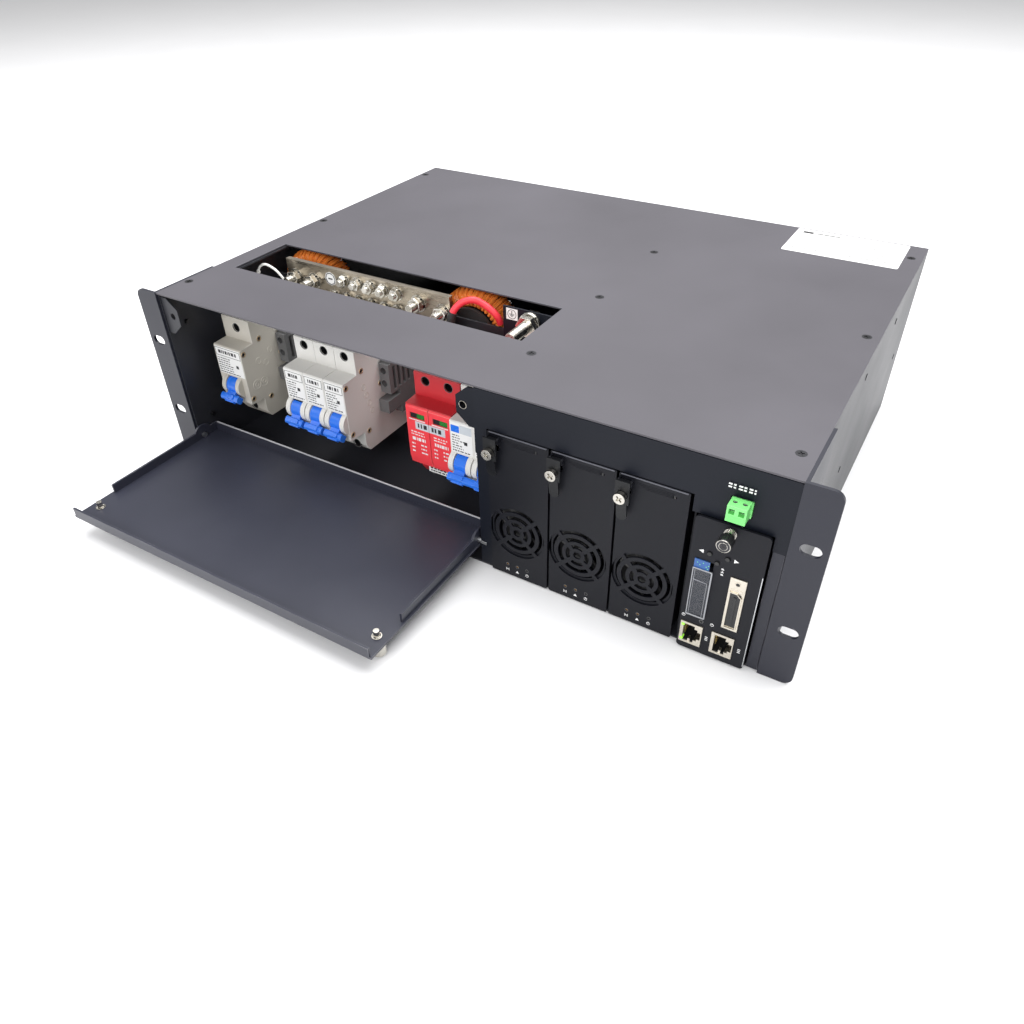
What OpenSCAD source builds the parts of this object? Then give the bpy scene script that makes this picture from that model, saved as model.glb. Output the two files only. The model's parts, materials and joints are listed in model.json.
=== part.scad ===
// Rack power system, three units high, for a 19 inch rack.
// Left: breaker compartment behind a drop-down door. Right: three plug-in
// rectifier modules and a plug-in controller. Built from the chassis floor
// up, then lowered so that the origin is the centre of the rack slots, on
// the plane where the ears meet the rack rails. X right, Y back, Z up.

/* [Chassis] */
// Width over the side walls
chassis_w = 444; // [442:0.5:445]
// Height over floor and cover, three rack units less a gap
chassis_h = 133; // [132.5:0.1:133.3]
// Depth behind the rack rails
chassis_d = 333.5; // [325:0.5:400]
// Thickness of the chassis sheet
sheet = 1.2; // [1:0.1:1.3]
// Thickness of the front panel sheet
panel_t = 1.5; // [1.2:0.1:1.5]

/* [Rack ears] */
// Width over both ears, the 19 inch panel width
rack_w = 482.6; // [482:0.1:483]
// Distance between the left and right slots
slot_dx = 465.1; // [464.5:0.1:465.9]
// Distance between the upper and lower slots
slot_dz = 57.15; // [57:0.05:57.2]
// Width of a slot, which is its height on the ear
slot_w = 7; // [6.5:0.1:7.2]
// Length of a slot along the ear
slot_l = 11; // [10:0.1:12]
// Thickness of an ear
ear_t = 2; // [1.8:0.1:2.2]
// Depth of the ear's leg along the side wall
ear_leg = 52; // [40:1:60]

/* [Compartment] */
// Right edge of the door opening, from the centre line
bay_x = 37.4; // [37:0.1:38]
// Left edge of the cover's cut-out, from the centre line
cut_x0 = -207.3; // [-209:0.1:-205]
// Right edge of the cover's cut-out
cut_x1 = 34.3; // [32:0.1:35]
// Front edge of the cover's cut-out
cut_y0 = 58.5; // [56:0.1:60]
// Rear edge of the cover's cut-out
cut_y1 = 111.5; // [110:0.1:114]
// Height of the mounting rail's centre line above the floor
rail_z = 65; // [64:0.1:66]
// Distance from the rack rails back to the mounting rail's face
rail_y = 91.5; // [91:0.1:92]

/* [Door] */
// Height of the door's hinge axis above the floor
hinge_z = 17.2; // [17:0.1:17.6]
// Distance of the hinge axis behind the rack rails
hinge_y = 1.7; // [1.6:0.1:1.8]
// Depth of the door's folded edges
door_lip = 6.5; // [5:0.1:6.6]
// How far the door stands open, 90 is flat out
door_angle = 90; // [0:1:90]

/* [Modules] */
// Width of a rectifier's face plate
module_w = 40; // [39:0.1:40.2]
// Height of a rectifier's face plate
module_h = 105.8; // [104:0.1:106]
// Left edge of the first rectifier
module_x = 46.7; // [46.5:0.1:46.9]
// Distance from one rectifier to the next
module_pitch = 41.45; // [41.3:0.05:41.5]
// Depth of a module behind the rack rails
module_d = 236; // [200:1:238]
// Outer radius of the fan grille
fan_r = 19; // [18:0.1:19]
// Number of fan blades
fan_blades = 7; // [5:1:9]
// Left edge of the controller
ctl_x = 174.5; // [174.2:0.1:174.8]
// Height of the controller's face plate above the floor
ctl_top = 97; // [96.5:0.1:97.5]

/* [Hidden] */

$fn = 48;
half_w = chassis_w / 2;
slot_mid = chassis_h / 2;
cover_z = chassis_h - sheet;            // underside of the cover
wall_top = cover_z - 0.2;
pole_w = 18;                            // one pole on the mounting rail
nose_h = 45;                            // standard opening in a breaker panel
load_x = -137.6;                        // left side of the load breakers
battery_x = -208.2;
battery_w = 27;
surge_x = -34;
mains_x = 2.6;
shoulder_y = 36.5;                      // terminal shoulders of the breakers
nose_y = 21.5;                          // front of a load breaker
body_h = 80;                            // height of a breaker
toggle_r = 6.8;
toggle_back = 2;                        // toggle pivot behind the nose
toggle_z = rail_z - 9;
tab_y = 0.7;                            // catches just behind the closed door
catch_z = 116.5;
catch_x = [-213, 28.7];
door_x = [-half_w + 1.2, bay_x - 1];
door_z = [2.5, 131.5];
door_y = hinge_y - 3.7;                 // outer face of the closed door
door_t = 1.5;
face_y = -2;                            // front of the rectifier face plates
face_t = 1.2;
ctl_y = -4.6;                           // front of the controller's face plate
fan_z = 37.2;
guide_x = [for (i = [1 : 2]) module_x + i * module_pitch - 1.2];

module box(lo, hi) { translate(lo) cube(hi - lo); }
module rod_x(y, z, r, x0, x1) { translate([x0, y, z]) rotate([0, 90, 0]) cylinder(r = r, h = x1 - x0); }
module rod_y(x, z, r, y0, y1) { translate([x, y0, z]) rotate([-90, 0, 0]) cylinder(r = r, h = y1 - y0); }
module rod_z(x, y, r, z0, z1) { translate([x, y, z0]) cylinder(r = r, h = z1 - z0); }
module hex_y(x, z, across, y0, y1) {
    translate([x, y0, z]) rotate([-90, 0, 0]) cylinder(d = across / cos(30), h = y1 - y0, $fn = 6);
}
// Everything is drawn from the chassis floor and lowered to the rack frame
module seated() { translate([0, 0, -slot_mid]) children(); }

// A flat shape in X and Z, given thickness from y0 back to y1
module upright(y0, y1) { translate([0, y1, 0]) rotate([90, 0, 0]) linear_extrude(y1 - y0) children(); }
// A flat shape in Y and Z, given thickness from x0 to x1
module across(x0, x1) {
    translate([x0, 0, 0]) rotate([90, 0, 90]) linear_extrude(x1 - x0) children();
}
module rounded(lo, hi, r) {
    translate([lo[0] + r, lo[1]]) square([hi[0] - lo[0] - 2 * r, hi[1] - lo[1]]);
    translate([lo[0], lo[1] + r]) square([hi[0] - lo[0], hi[1] - lo[1] - 2 * r]);
    for (x = [lo[0] + r, hi[0] - r], y = [lo[1] + r, hi[1] - r]) translate([x, y]) circle(r);
}

// ---------------------------------------------------------------- chassis

side_screws = [[-half_w + 5, 24], [-half_w + 5, 166.5], [-half_w + 5, 310],
    [half_w - 8, 21], [half_w - 8, 164.5], [half_w - 8, 308]];
middle_screws = [[47.5, 47.5], [47.5, 139.2], [47.5, 230.9]];
cover_points = concat(side_screws, middle_screws);

module catch_tab(side) {
    x = side < 0 ? -half_w + sheet : bay_x;
    depth = 13.5;
    s = -side;
    difference() {
        upright(tab_y, tab_y + sheet)
            polygon([[x, 103], [x + s * 5, 103], [x + s * depth, 110.5],
                [x + s * depth, 122], [x + s * 5, 129.3], [x, 129.3]]);
        rod_y(catch_x[side < 0 ? 0 : 1], catch_z, 2.3, tab_y - 1, tab_y + sheet + 1);
    }
}

module chassis_tray() {
    flange_w = 16;
    strip_w = 7;
    color("#3b3c42") seated() {
        difference() {
            union() {
                box([-half_w, 0, 0], [half_w, chassis_d, sheet]);
                for (s = [-1, 1]) {
                    box([s < 0 ? -half_w : half_w - sheet, 0, 0],
                        [s < 0 ? -half_w + sheet : half_w, chassis_d, wall_top]);
                    box([s < 0 ? -half_w : half_w - flange_w, 12.5, wall_top - sheet],
                        [s < 0 ? -half_w + flange_w : half_w, chassis_d - 1.5, wall_top]);
                }
                box([half_w - strip_w, 0, 0], [half_w, sheet, wall_top - 1.4]);
                catch_tab(-1);
            }
            for (p = side_screws) rod_z(p[0], p[1], 1.6, wall_top - 3, wall_top + 1);
            for (s = [-1, 1], y = [16, 42], z = [28, 105])
                rod_x(y, z, 1.8, s * half_w - 3, s * half_w + 3);
        }
    }
}

module rear_panel() {
    y = chassis_d - sheet;
    color("#3b3c42") seated() difference() {
        box([-half_w + sheet, y, sheet], [half_w - sheet, chassis_d, wall_top - sheet]);
        for (i = [0 : 2], col = [0 : 3], row = [0 : 9])
            box([module_x + 3.6 + i * module_pitch + col * 8.6, y - 1, 14 + row * 9],
                [module_x + 9.4 + i * module_pitch + col * 8.6, chassis_d + 1, 18 + row * 9]);
        for (x = [-185, -135, -85]) rod_y(x, 36, 14, y - 1, chassis_d + 1);
    }
}

module top_cover() {
    color("#6f6d74") seated() difference() {
        box([-half_w, -panel_t + 0.3, cover_z], [half_w, chassis_d, chassis_h]);
        box([cut_x0, cut_y0, cover_z - 1], [cut_x1, cut_y1, chassis_h + 1]);
        for (p = cover_points) {
            rod_z(p[0], p[1], 1.7, cover_z - 1, chassis_h + 1);
            translate([p[0], p[1], chassis_h - 1]) cylinder(r1 = 1.7, r2 = 3.2, h = 1.02);
        }
    }
}

module front_panel() {
    top = cover_z - 0.3;
    leg_l = 87.3;
    leg_r = 86.8;
    color("#2a2b33") seated() {
        difference() {
            upright(-panel_t, 0) {
                rounded([bay_x, leg_l], [module_x - 0.9, top], 1.2);
                translate([bay_x + 3, 107]) square([half_w - bay_x - 6, top - 107]);
                translate([171.4, 96.2]) square([half_w - 171.4 - 4, 20]);
                translate([screw_x - 7, 90.4]) square([14, 8]);
                rounded([half_w - 7.1, leg_r], [half_w, top], 1.2);
            }
            box([189.6, -3, 102.6], [201.8, 1, 113.2]);
            rod_y(screw_x, screw_z, 2.3, -3, 1);
        }
        box([bay_x, -0.1, top - sheet], [half_w - 0.2 - sheet, 12, top]);
    }
}

module ear(s) {
    x0 = half_w;
    x1 = rack_w / 2;
    r = 6;
    leg_x = half_w + ear_t;
    color("#33343b") seated() mirror([s < 0 ? 1 : 0, 0, 0]) difference() {
        union() {
            upright(-ear_t, 0) {
                translate([x0 + 0.2, 0]) square([x1 - x0 - r, chassis_h]);
                translate([x0 + 4, r]) square([x1 - x0 - 4, chassis_h - 2 * r]);
                for (z = [r, chassis_h - r]) translate([x1 - r, z]) circle(r);
            }
            box([x0, -ear_t, 0], [leg_x, ear_leg, chassis_h]);
        }
        for (z = [-slot_dz / 2, slot_dz / 2]) {
            for (k = [-1, 1])
                rod_y(slot_dx / 2 + k * (slot_l - slot_w) / 2, slot_mid + z, slot_w / 2, -ear_t - 1, 1);
            box([slot_dx / 2 - (slot_l - slot_w) / 2, -ear_t - 1, slot_mid + z - slot_w / 2],
                [slot_dx / 2 + (slot_l - slot_w) / 2, 1, slot_mid + z + slot_w / 2]);
        }
        for (y = [16, 42], z = [28, 105]) {
            rod_x(y, z, 2.1, x0 - 1, leg_x + 1);
            translate([leg_x - 1.1, y, z]) rotate([0, 90, 0]) cylinder(r1 = 2.1, r2 = 3.3, h = 1.12);
        }
    }
}
module ear_left() { ear(-1); }
module ear_right() { ear(1); }

module bay_divider() {
    x = 41.5;
    color("#3b3c42") seated() difference() {
        union() {
            box([x, 0, sheet], [x + sheet, chassis_d - 1.5, wall_top - 1.4]);
            box([bay_x, 0, sheet], [module_x - 0.9, sheet, wall_top - 1.4]);
            box([x, 12.5, wall_top - sheet - 1.4], [x + 12, chassis_d - 1.5, wall_top - 1.4]);
            box([x, 14, sheet], [x + 3, 230, sheet * 2]);
            catch_tab(1);
            box([bay_x - 0.1, tab_y, 103], [x + 0.5, tab_y + sheet, 129.3]);
        }
        for (p = middle_screws) rod_z(p[0], p[1], 1.6, wall_top - 5, wall_top + 1);
        rod_x(hinge_y, hinge_z, 2.05, bay_x - 1, x);
    }
}

module bay_guides() {
    color("#8d8f94") seated() {
        for (x = guide_x) {
            box([x, 3, sheet], [x + 0.9, 230, 108]);
            box([x - 2.5, 3, 108], [x + 3.4, 230, 109]);
        }
        box([171.6, 3, sheet], [172.6, 230, 108]);
    }
}

module backplane() {
    y = 246;
    color("#2f6b3f") seated() {
        box([42.7, y, 4], [half_w - sheet, y + 2, 118]);
        for (i = [0 : 3])
            box([module_x + 8 + i * module_pitch + (i == 3 ? 3 : 0), y - 8, 40],
                [module_x + 30 + i * module_pitch + (i == 3 ? 3 : 0), y + 0.2, 84]);
    }
}

// ------------------------------------------------- breaker compartment

bracket_y = 108.5;
module rail_bracket() {
    color("#3b3c42") seated() {
        box([-half_w + sheet, bracket_y, sheet], [41.5, bracket_y + sheet, 110]);
        box([-half_w + sheet, bracket_y, sheet], [41.5, bracket_y + 14, sheet * 2]);
        for (x = [-190, -120, -45, 20])
            rod_y(x, rail_z, 5, rail_y + 7.5, bracket_y);
    }
}

module din_rail() {
    w = 35;
    inner = 27;
    depth = 7.5;
    t = 1;
    color("#c9cbcc") seated() across(-half_w + sheet + 1, 38.5) {
        translate([rail_y + depth - t, rail_z - inner / 2]) square([t, inner]);
        for (s = [-1, 1]) {
            translate([rail_y, rail_z + s * (inner / 2 - t / 2) - t / 2]) square([depth, t]);
            translate([rail_y, rail_z + s * (w + inner) / 4 - (w - inner) / 4]) square([t, (w - inner) / 2]);
        }
    }
}

module end_brackets() {
    w = 8.6;
    color("#6d6c6d") seated() for (x = [battery_x + battery_w + 0.3, load_x + 3 * pole_w + 0.3])
        difference() {
            union() {
                box([x, 59.5, 64], [x + w, rail_y, 87]);
                box([x - 0.0, 55.5, 50], [x + w, rail_y, 60]);
                box([x, 70, 44], [x + w, rail_y + 3.6, 88]);
                for (k = [0 : 4]) box([x, 62 + k * 5.4, 86], [x + w, 64.6 + k * 5.4, 91]);
            }
            for (z = [71.5, 81.5]) rod_y(x + 3.6, z, 2.5, 58, 68);
            for (k = [0 : 3]) box([x + 5.6, 64 + k * 5.4, 66], [x + w + 1, 67 + k * 5.4, 84]);
            box([x - 1, rail_y, rail_z - 17.6], [x + w + 1, rail_y + 1.1, rail_z + 17.6]);
            box([x - 1, rail_y, rail_z - 13.6], [x + w + 1, rail_y + 5, rail_z + 13.6]);
        }
}

// Outline of a breaker seen from its side, in Y and Z
module breaker_outline(nose, h) {
    z0 = rail_z - h / 2;
    z1 = rail_z + h / 2;
    n0 = rail_z - nose_h / 2;
    n1 = rail_z + nose_h / 2;
    polygon([
        [nose + 0.8, n1], [nose, n1 - 0.8], [nose, n0 + 0.8], [nose + 0.8, n0],
        [shoulder_y, n0 - 0.6], [shoulder_y, z0 + 6], [shoulder_y + 4, z0],
        [rail_y - 4, z0], [rail_y + 3, z0 + 7], [rail_y + 3, rail_z - 18],
        [rail_y, rail_z - 18], [rail_y, rail_z + 18], [rail_y + 3, rail_z + 18],
        [rail_y + 3, z1 - 5], [rail_y - 2, z1], [shoulder_y, z1], [shoulder_y, n1 + 0.6]
    ]);
}

// One breaker: its toggle turns in a slot between two round cheeks
module breaker(x, w, nose, poles, hole_z) {
    pivot_y = nose + toggle_back;
    difference() {
        union() {
            across(x + 0.1, x + w - 0.1) breaker_outline(nose, body_h);
            for (p = [0 : poles - 1]) {
                c = x + (p + 0.5) * w / poles;
                for (s = [-1, 1])
                    rod_x(pivot_y + 1.2, toggle_z, toggle_r + 1.6,
                        c + (s < 0 ? -8.6 : 4.8), c + (s < 0 ? -4.8 : 8.6));
            }
        }
        for (p = [0 : poles - 1]) {
            c = x + (p + 0.5) * w / poles;
            rod_x(pivot_y, toggle_z, toggle_r + 0.7, c - 4.8, c + 4.8);
            for (z = [hole_z, 2 * rail_z - hole_z]) rod_y(c, z, 3.3, shoulder_y - 1, shoulder_y + 11);
            for (z = [rail_z + body_h / 2 - 8, rail_z - body_h / 2 - 1])
                box([c - 4.4, 52, z], [c + 4.4, 62, z + 9]);
        }
    }
}

// A toggle in its lower position: barrels and one lever
module toggle(x, w, nose, poles, lever_w) {
    pivot_y = nose + toggle_back;
    drop = 42;                              // lever angle below level
    for (p = [0 : poles - 1]) {
        c = x + (p + 0.5) * w / poles;
        rod_x(pivot_y, toggle_z, toggle_r, c - 4.4, c + 4.4);
    }
    c = x + w / 2;
    translate([c, pivot_y, toggle_z]) rotate([drop, 0, 0]) {
        for (p = [0 : poles - 1])
            box([(p + 0.5 - poles / 2) * w / poles - 4, -10, -2.4],
                [(p + 0.5 - poles / 2) * w / poles + 4, -3, 2.4]);
        box([-lever_w / 2, -13.8, -3.4], [lever_w / 2, -8.7, 3]);
    }
}

module battery_breaker() {
    color("#c9c5bb") seated() breaker(battery_x, battery_w, nose_y + 2, 1, 97.5);
}
module battery_toggle() {
    color("#2f6fd8") seated() toggle(battery_x, battery_w, nose_y + 2, 1, 17);
}
module load_breaker(i) {
    color("#e6e5e0") seated() breaker(load_x + i * pole_w, pole_w, nose_y, 1, 99.9);
}
module load_toggle(i) {
    color("#2f6fd8") seated() toggle(load_x + i * pole_w, pole_w, nose_y, 1, 15.6);
}
module load_breaker_1() { load_breaker(0); }
module load_breaker_2() { load_breaker(1); }
module load_breaker_3() { load_breaker(2); }
module load_toggle_1() { load_toggle(0); }
module load_toggle_2() { load_toggle(1); }
module load_toggle_3() { load_toggle(2); }
module mains_breaker() {
    color("#eeeeea") seated() breaker(mains_x, 2 * pole_w, nose_y, 2, 99.9);
}
module mains_toggle() {
    color("#2f6fd8") seated() toggle(mains_x, 2 * pole_w, nose_y, 2, 33);
}

surge_nose = 24.5;
cart_z = [41.2, 86.6];
module surge_base() {
    w = 2 * pole_w;
    color("#b8323a") seated() difference() {
        across(surge_x + 0.1, surge_x + w - 0.1) breaker_outline(surge_nose, body_h);
        box([surge_x - 1, surge_nose - 1, cart_z[0] - 0.3], [surge_x + w + 1, 74, cart_z[1] + 0.3]);
        for (p = [0, 1], z = [99.6, 2 * rail_z - 99.6])
            rod_y(surge_x + (p + 0.5) * pole_w, z, 3.3, shoulder_y - 1, shoulder_y + 11);
        for (p = [0, 1]) box([surge_x + (p + 0.5) * pole_w - 4.4, 52, 97],
            [surge_x + (p + 0.5) * pole_w + 4.4, 62, 106]);
        for (p = [0, 1], z = [55, 75]) rod_y(surge_x + (p + 0.5) * pole_w, z, 2.6, 70, 84);
    }
}
module surge_cartridge(i) {
    x0 = surge_x + i * pole_w + 0.25;
    x1 = x0 + pole_w - 0.5;
    color("#e8434c") seated() {
        difference() {
            across(x0, x1) polygon([
                [surge_nose + 1, cart_z[1]], [surge_nose, cart_z[1] - 1], [surge_nose, cart_z[0] + 7],
                [surge_nose + 1.4, cart_z[0]], [73.6, cart_z[0]], [73.6, cart_z[1]]]);
            for (k = [0 : 3])
                box([x0 - 1, surge_nose + 2.2 + k * 2.6, cart_z[1] - 0.6],
                    [x1 + 1, surge_nose + 3.4 + k * 2.6, cart_z[1] + 1]);
            box([x0 + 3, surge_nose - 1, 77.4], [x1 - 3, surge_nose + 1.6, 81.6]);
        }
        for (z = [55, 75]) rod_y((x0 + x1) / 2, z, 2, 73, 82);
    }
}
module surge_cartridge_1() { surge_cartridge(0); }
module surge_cartridge_2() { surge_cartridge(1); }

bar_y = 96.5;
bar_t = 4;
bar_x = [-194, -45];
big_bolts = [[-185.2, 117], [-168, 117], [-71.5, 119.5], [-50.8, 117.3]];
small_bolts = concat([for (i = [0 : 4]) [-137.6 + i * 12, 123]], [for (i = [0 : 6]) [-149 + i * 11.7, 109.4]]);
bar_posts = [-158, -60];
module bus_bar() {
    color("#b9b2a3") seated() difference() {
        box([bar_x[0], bar_y, 100], [bar_x[1], bar_y + bar_t, 129.5]);
        for (b = big_bolts) rod_y(b[0], b[1], 3.1, bar_y - 1, bar_y + bar_t + 1);
        for (b = small_bolts) rod_y(b[0], b[1], 2.5, bar_y - 1, bar_y + bar_t + 1);
    }
}
module bus_bar_posts() {
    color("#7d2a24") seated() for (x = bar_posts) rod_y(x, 104.5, 5, bar_y + bar_t, bracket_y);
}
module bus_bolt(p, r, across_flats, reach) {
    rod_y(p[0], p[1], r * 2.1, bar_y - 0.9, bar_y);
    hex_y(p[0], p[1], across_flats, bar_y - 0.9 - r * 1.5, bar_y - 0.9);
    rod_y(p[0], p[1], r, bar_y - reach, bar_y + bar_t + 2);
}
module bus_bar_bolts() {
    color("#cfcfca") seated() {
        for (b = big_bolts) bus_bolt(b, 3.05, 10.6, 12);
        for (b = small_bolts) bus_bolt(b, 2.4, 8, 8);
    }
}

module choke(x, y, z, r, bore, h) {
    difference() {
        rod_y(x, z, r, y, y + h);
        rod_y(x, z, bore, y - 1, y + h + 1);
    }
    rod_y(x, z, bore + 3, bracket_y + sheet, y + 0.5);
}
module chokes() {
    color("#c8702c") seated() {
        choke(-187.5, 112, 98.5, 31.5, 16, 22);
        choke(-38, 112, 98.5, 31.5, 16, 22);
    }
}

module earth_bracket() {
    color("#33343b") seated() difference() {
        union() {
            box([-7, 104.5, 86], [41.5, 104.5 + sheet, 129]);
            box([41.5 - sheet, 90, 86], [41.5, 105, 122]);
        }
        rod_y(14.6, 120.8, 4.1, 100, 110);
    }
}
module earth_stud() {
    color("#cfcfca") seated() {
        rod_y(14.6, 120.8, 3.95, 77, 112);
        hex_y(14.6, 120.8, 13, 96.4, 102.9);
        rod_y(14.6, 120.8, 8, 102.9, 104.5);
        hex_y(14.6, 120.8, 13, 105.7, 110.5);
    }
}

// A round wire swept along a curve through hand-picked points
function bend(p, t) = let (n = len(p) - 1, s = min(floor(t * n), n - 1), u = t * n - s,
        a = p[max(s - 1, 0)], b = p[s], c = p[s + 1], d = p[min(s + 2, n)])
    0.5 * ((2 * b) + (c - a) * u + (2 * a - 5 * b + 4 * c - d) * u * u
        + (3 * b - a - 3 * c + d) * u * u * u);
function unit(v) = v / norm(v);
module wire(path, r, rings, sides) {
    at = [for (i = [0 : rings]) bend(path, i / rings)];
    dir = [for (i = [0 : rings]) unit(at[min(i + 1, rings)] - at[max(i - 1, 0)])];
    side = [for (d = dir) unit(cross(d, [0.13, 1, 0.07]))];
    up = [for (i = [0 : rings]) cross(side[i], dir[i])];
    pts = [for (i = [0 : rings], k = [0 : sides - 1])
        at[i] + r * (cos(360 * k / sides) * side[i] + sin(360 * k / sides) * up[i])];
    quads = [for (i = [0 : rings - 1], k = [0 : sides - 1])
        [i * sides + k, i * sides + (k + 1) % sides,
            (i + 1) * sides + (k + 1) % sides, (i + 1) * sides + k]];
    ends = [[for (k = [sides - 1 : -1 : 0]) k], [for (k = [0 : sides - 1]) rings * sides + k]];
    polyhedron(pts, concat(quads, ends), convexity = 4);
}
battery_path = [[-41.8, 91, 97], [-41.8, 91.3, 105], [-41.8, 91.6, 112], [-40.8, 92.8, 119.5],
    [-37.6, 96.8, 125.5], [-33.4, 100, 128], [-28, 103, 128.4], [-23.1, 105, 126],
    [-17.5, 106, 122.6], [-13, 107, 118], [-12, 109, 112.6]];
sense_path = [[-214, 80, 96], [-215, 82, 108], [-213, 83.5, 119], [-207, 84.5, 126],
    [-199, 86, 124.6], [-193, 88, 118], [-189, 90.5, 109]];
module battery_wire() {
    color("#d8343f") seated() wire(battery_path, 2.3, 34, 10);
}
module sense_wire() {
    color("#e9e9e6") seated() wire(sense_path, 0.9, 24, 8);
}

// -------------------------------------------------------------------- door

// Turns something drawn on the closed door about the hinge to where it stands
module door_open() {
    translate([0, hinge_y, hinge_z]) rotate([door_angle, 0, 0]) translate([0, -hinge_y, -hinge_z]) children();
}
side_in = [door_x[0] + 1.2, door_x[1] - 1.5];
module door() {
    color("#4b4b57") seated() door_open() difference() {
        union() {
            box([door_x[0], door_y, door_z[0]], [door_x[1], door_y + door_t, door_z[1]]);
            for (z = [door_z[0], door_z[1] - door_t])
                box([side_in[0], door_y, z], [side_in[1], door_y + door_t + door_lip, z + door_t]);
            for (x = [side_in[0], side_in[1] - door_t]) {
                box([x, door_y, door_z[0]], [x + door_t, door_y + door_t + door_lip, 100.4]);
                intersection() {
                    rod_x(hinge_y, hinge_z, 8.5, x, x + door_t);
                    box([x, door_y, hinge_z - 12], [x + door_t, hinge_y + 12, hinge_z + 12]);
                }
            }
        }
        for (x = catch_x) rod_y(x, catch_z, 2.3, door_y - 1, door_y + door_t + 1);
        rod_x(hinge_y, hinge_z, 2.08, door_x[0] - 1, door_x[1] + 1);
    }
}
module door_screw(i) {
    x = catch_x[i];
    head_y = door_y - 11.9;
    color("#cfc9bb") seated() door_open() {
        rod_y(x, catch_z, 1.95, door_y - 1, 4.2);
        rod_y(x, catch_z, 3.2, door_y + door_t + 0.3, door_y + door_t + 0.9);
        rod_y(x, catch_z, 3.4, door_y - 3.4, door_y - 0.3);
        rod_y(x, catch_z, 4.3, head_y, door_y - 3.4);
    }
}
module door_screw_left() { door_screw(0); }
module door_screw_right() { door_screw(1); }
module hinge_pins() {
    color("#a9aaad") seated() {
        rod_x(hinge_y, hinge_z, 2, -half_w + sheet, side_in[0] + door_t + 1.2);
        rod_x(hinge_y, hinge_z, 2, side_in[1] - door_t - 1.2, 41.5);
    }
}
module cover_screws() {
    color("#202024") seated() for (p = cover_points) {
        rod_z(p[0], p[1], 1.5, chassis_h - 6, chassis_h - 0.9);
        difference() {
            translate([p[0], p[1], chassis_h - 1]) cylinder(r1 = 1.6, r2 = 3.0, h = 0.95);
            for (a = [0, 90]) translate([p[0], p[1], chassis_h]) rotate([0, 0, a + 20])
                cube([3.4, 0.8, 1.1], center = true);
        }
    }
}
module ear_screws() {
    color("#202024") seated() for (s = [0, 1]) mirror([s, 0, 0]) for (y = [16, 42], z = [28, 105]) {
        rod_x(y, z, 1.75, half_w - 3, half_w + 1);
        translate([half_w + ear_t - 1.1, y, z]) rotate([0, 90, 0]) cylinder(r1 = 1.9, r2 = 3.1, h = 1.05);
    }
}

// ---------------------------------------------------------- plug-in modules

latch_pivot = [face_y - 2.2, 102.6];     // Y and Z of the latch's pivot
latch_x = 0.5;
latch_w = 8.4;
latch_t = 1.2;
latch_out = 6;                           // how far the latch stands off the face
latch_screw_z = 96.2;

// One slot of the fan grille, between two spokes
module arc_slot(r, w) {
    half = 45 - asin(1.3 / r);
    rotate([-90, 0, 0]) rotate([0, 0, -half]) translate([0, 0, face_y - 1])
        rotate_extrude(angle = 2 * half) translate([r - w, 0]) square([2 * w, face_t + 2]);
}

module rectifier(i) {
    x = module_x + i * module_pitch;
    cx = x + module_w / 2 - 1.2;
    z0 = 0.7;
    back_y = face_y + face_t;
    color("#2f3036") seated() {
        difference() {
            upright(face_y, back_y) rounded([x, z0], [x + module_w, z0 + module_h], 0.8);
            for (ring = [[6.4, 1.35], [11.5, 1.4], [fan_r - 1.75, 1.75]], q = [0 : 3])
                translate([cx, 0, fan_z]) rotate([0, q * 90, 0]) arc_slot(ring[0], ring[1]);
            rod_y(cx, fan_z, 2.6, face_y - 1, back_y + 1);
            for (k = [-1 : 1]) rod_y(cx + k * 7.1, 9.3, 1, face_y - 1, back_y + 1);
            rod_y(x + latch_x + latch_w / 2, latch_screw_z, 3, face_y - 1, back_y + 1);
            box([x + 30.5, face_y - 1, 100.6], [x + 33, back_y + 1, 101.8]);
        }
        difference() {
            box([x + 0.9, back_y - 0.1, z0 + 0.8], [x + module_w - 1.7, module_d, z0 + module_h - 1]);
            box([x + 1.9, back_y - 1, z0 + 1.8], [x + module_w - 2.7, module_d - 1, z0 + module_h - 2]);
            box([x + 9, module_d - 2, 40], [x + 31, module_d + 1, 84]);
        }
        // fan frame
        difference() {
            box([cx - 17.9, back_y - 0.1, fan_z - 19.6], [cx + 17.9, 12, fan_z + 19.6]);
            rod_y(cx, fan_z, 17.2, back_y - 1, 13);
        }
        // spider behind the fan
        for (a = [0, 90]) translate([cx, 11.2, fan_z]) rotate([0, a, 0]) cube([35, 1.5, 2.4], center = true);
        // ears and pin that carry the latch
        for (k = [0, 1]) {
            lx = x + latch_x + (k == 0 ? 0 : latch_w - 1);
            box([lx, latch_pivot[0], latch_pivot[1] - 2], [lx + 1, face_y + 0.1, latch_pivot[1] + 2]);
            rod_x(latch_pivot[0], latch_pivot[1], 2, lx, lx + 1);
        }
        rod_x(latch_pivot[0], latch_pivot[1], 0.8, x + latch_x + 0.5, x + latch_x + latch_w - 0.5);
    }
}
module rectifier_1() { rectifier(0); }
module rectifier_2() { rectifier(1); }
module rectifier_3() { rectifier(2); }

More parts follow.
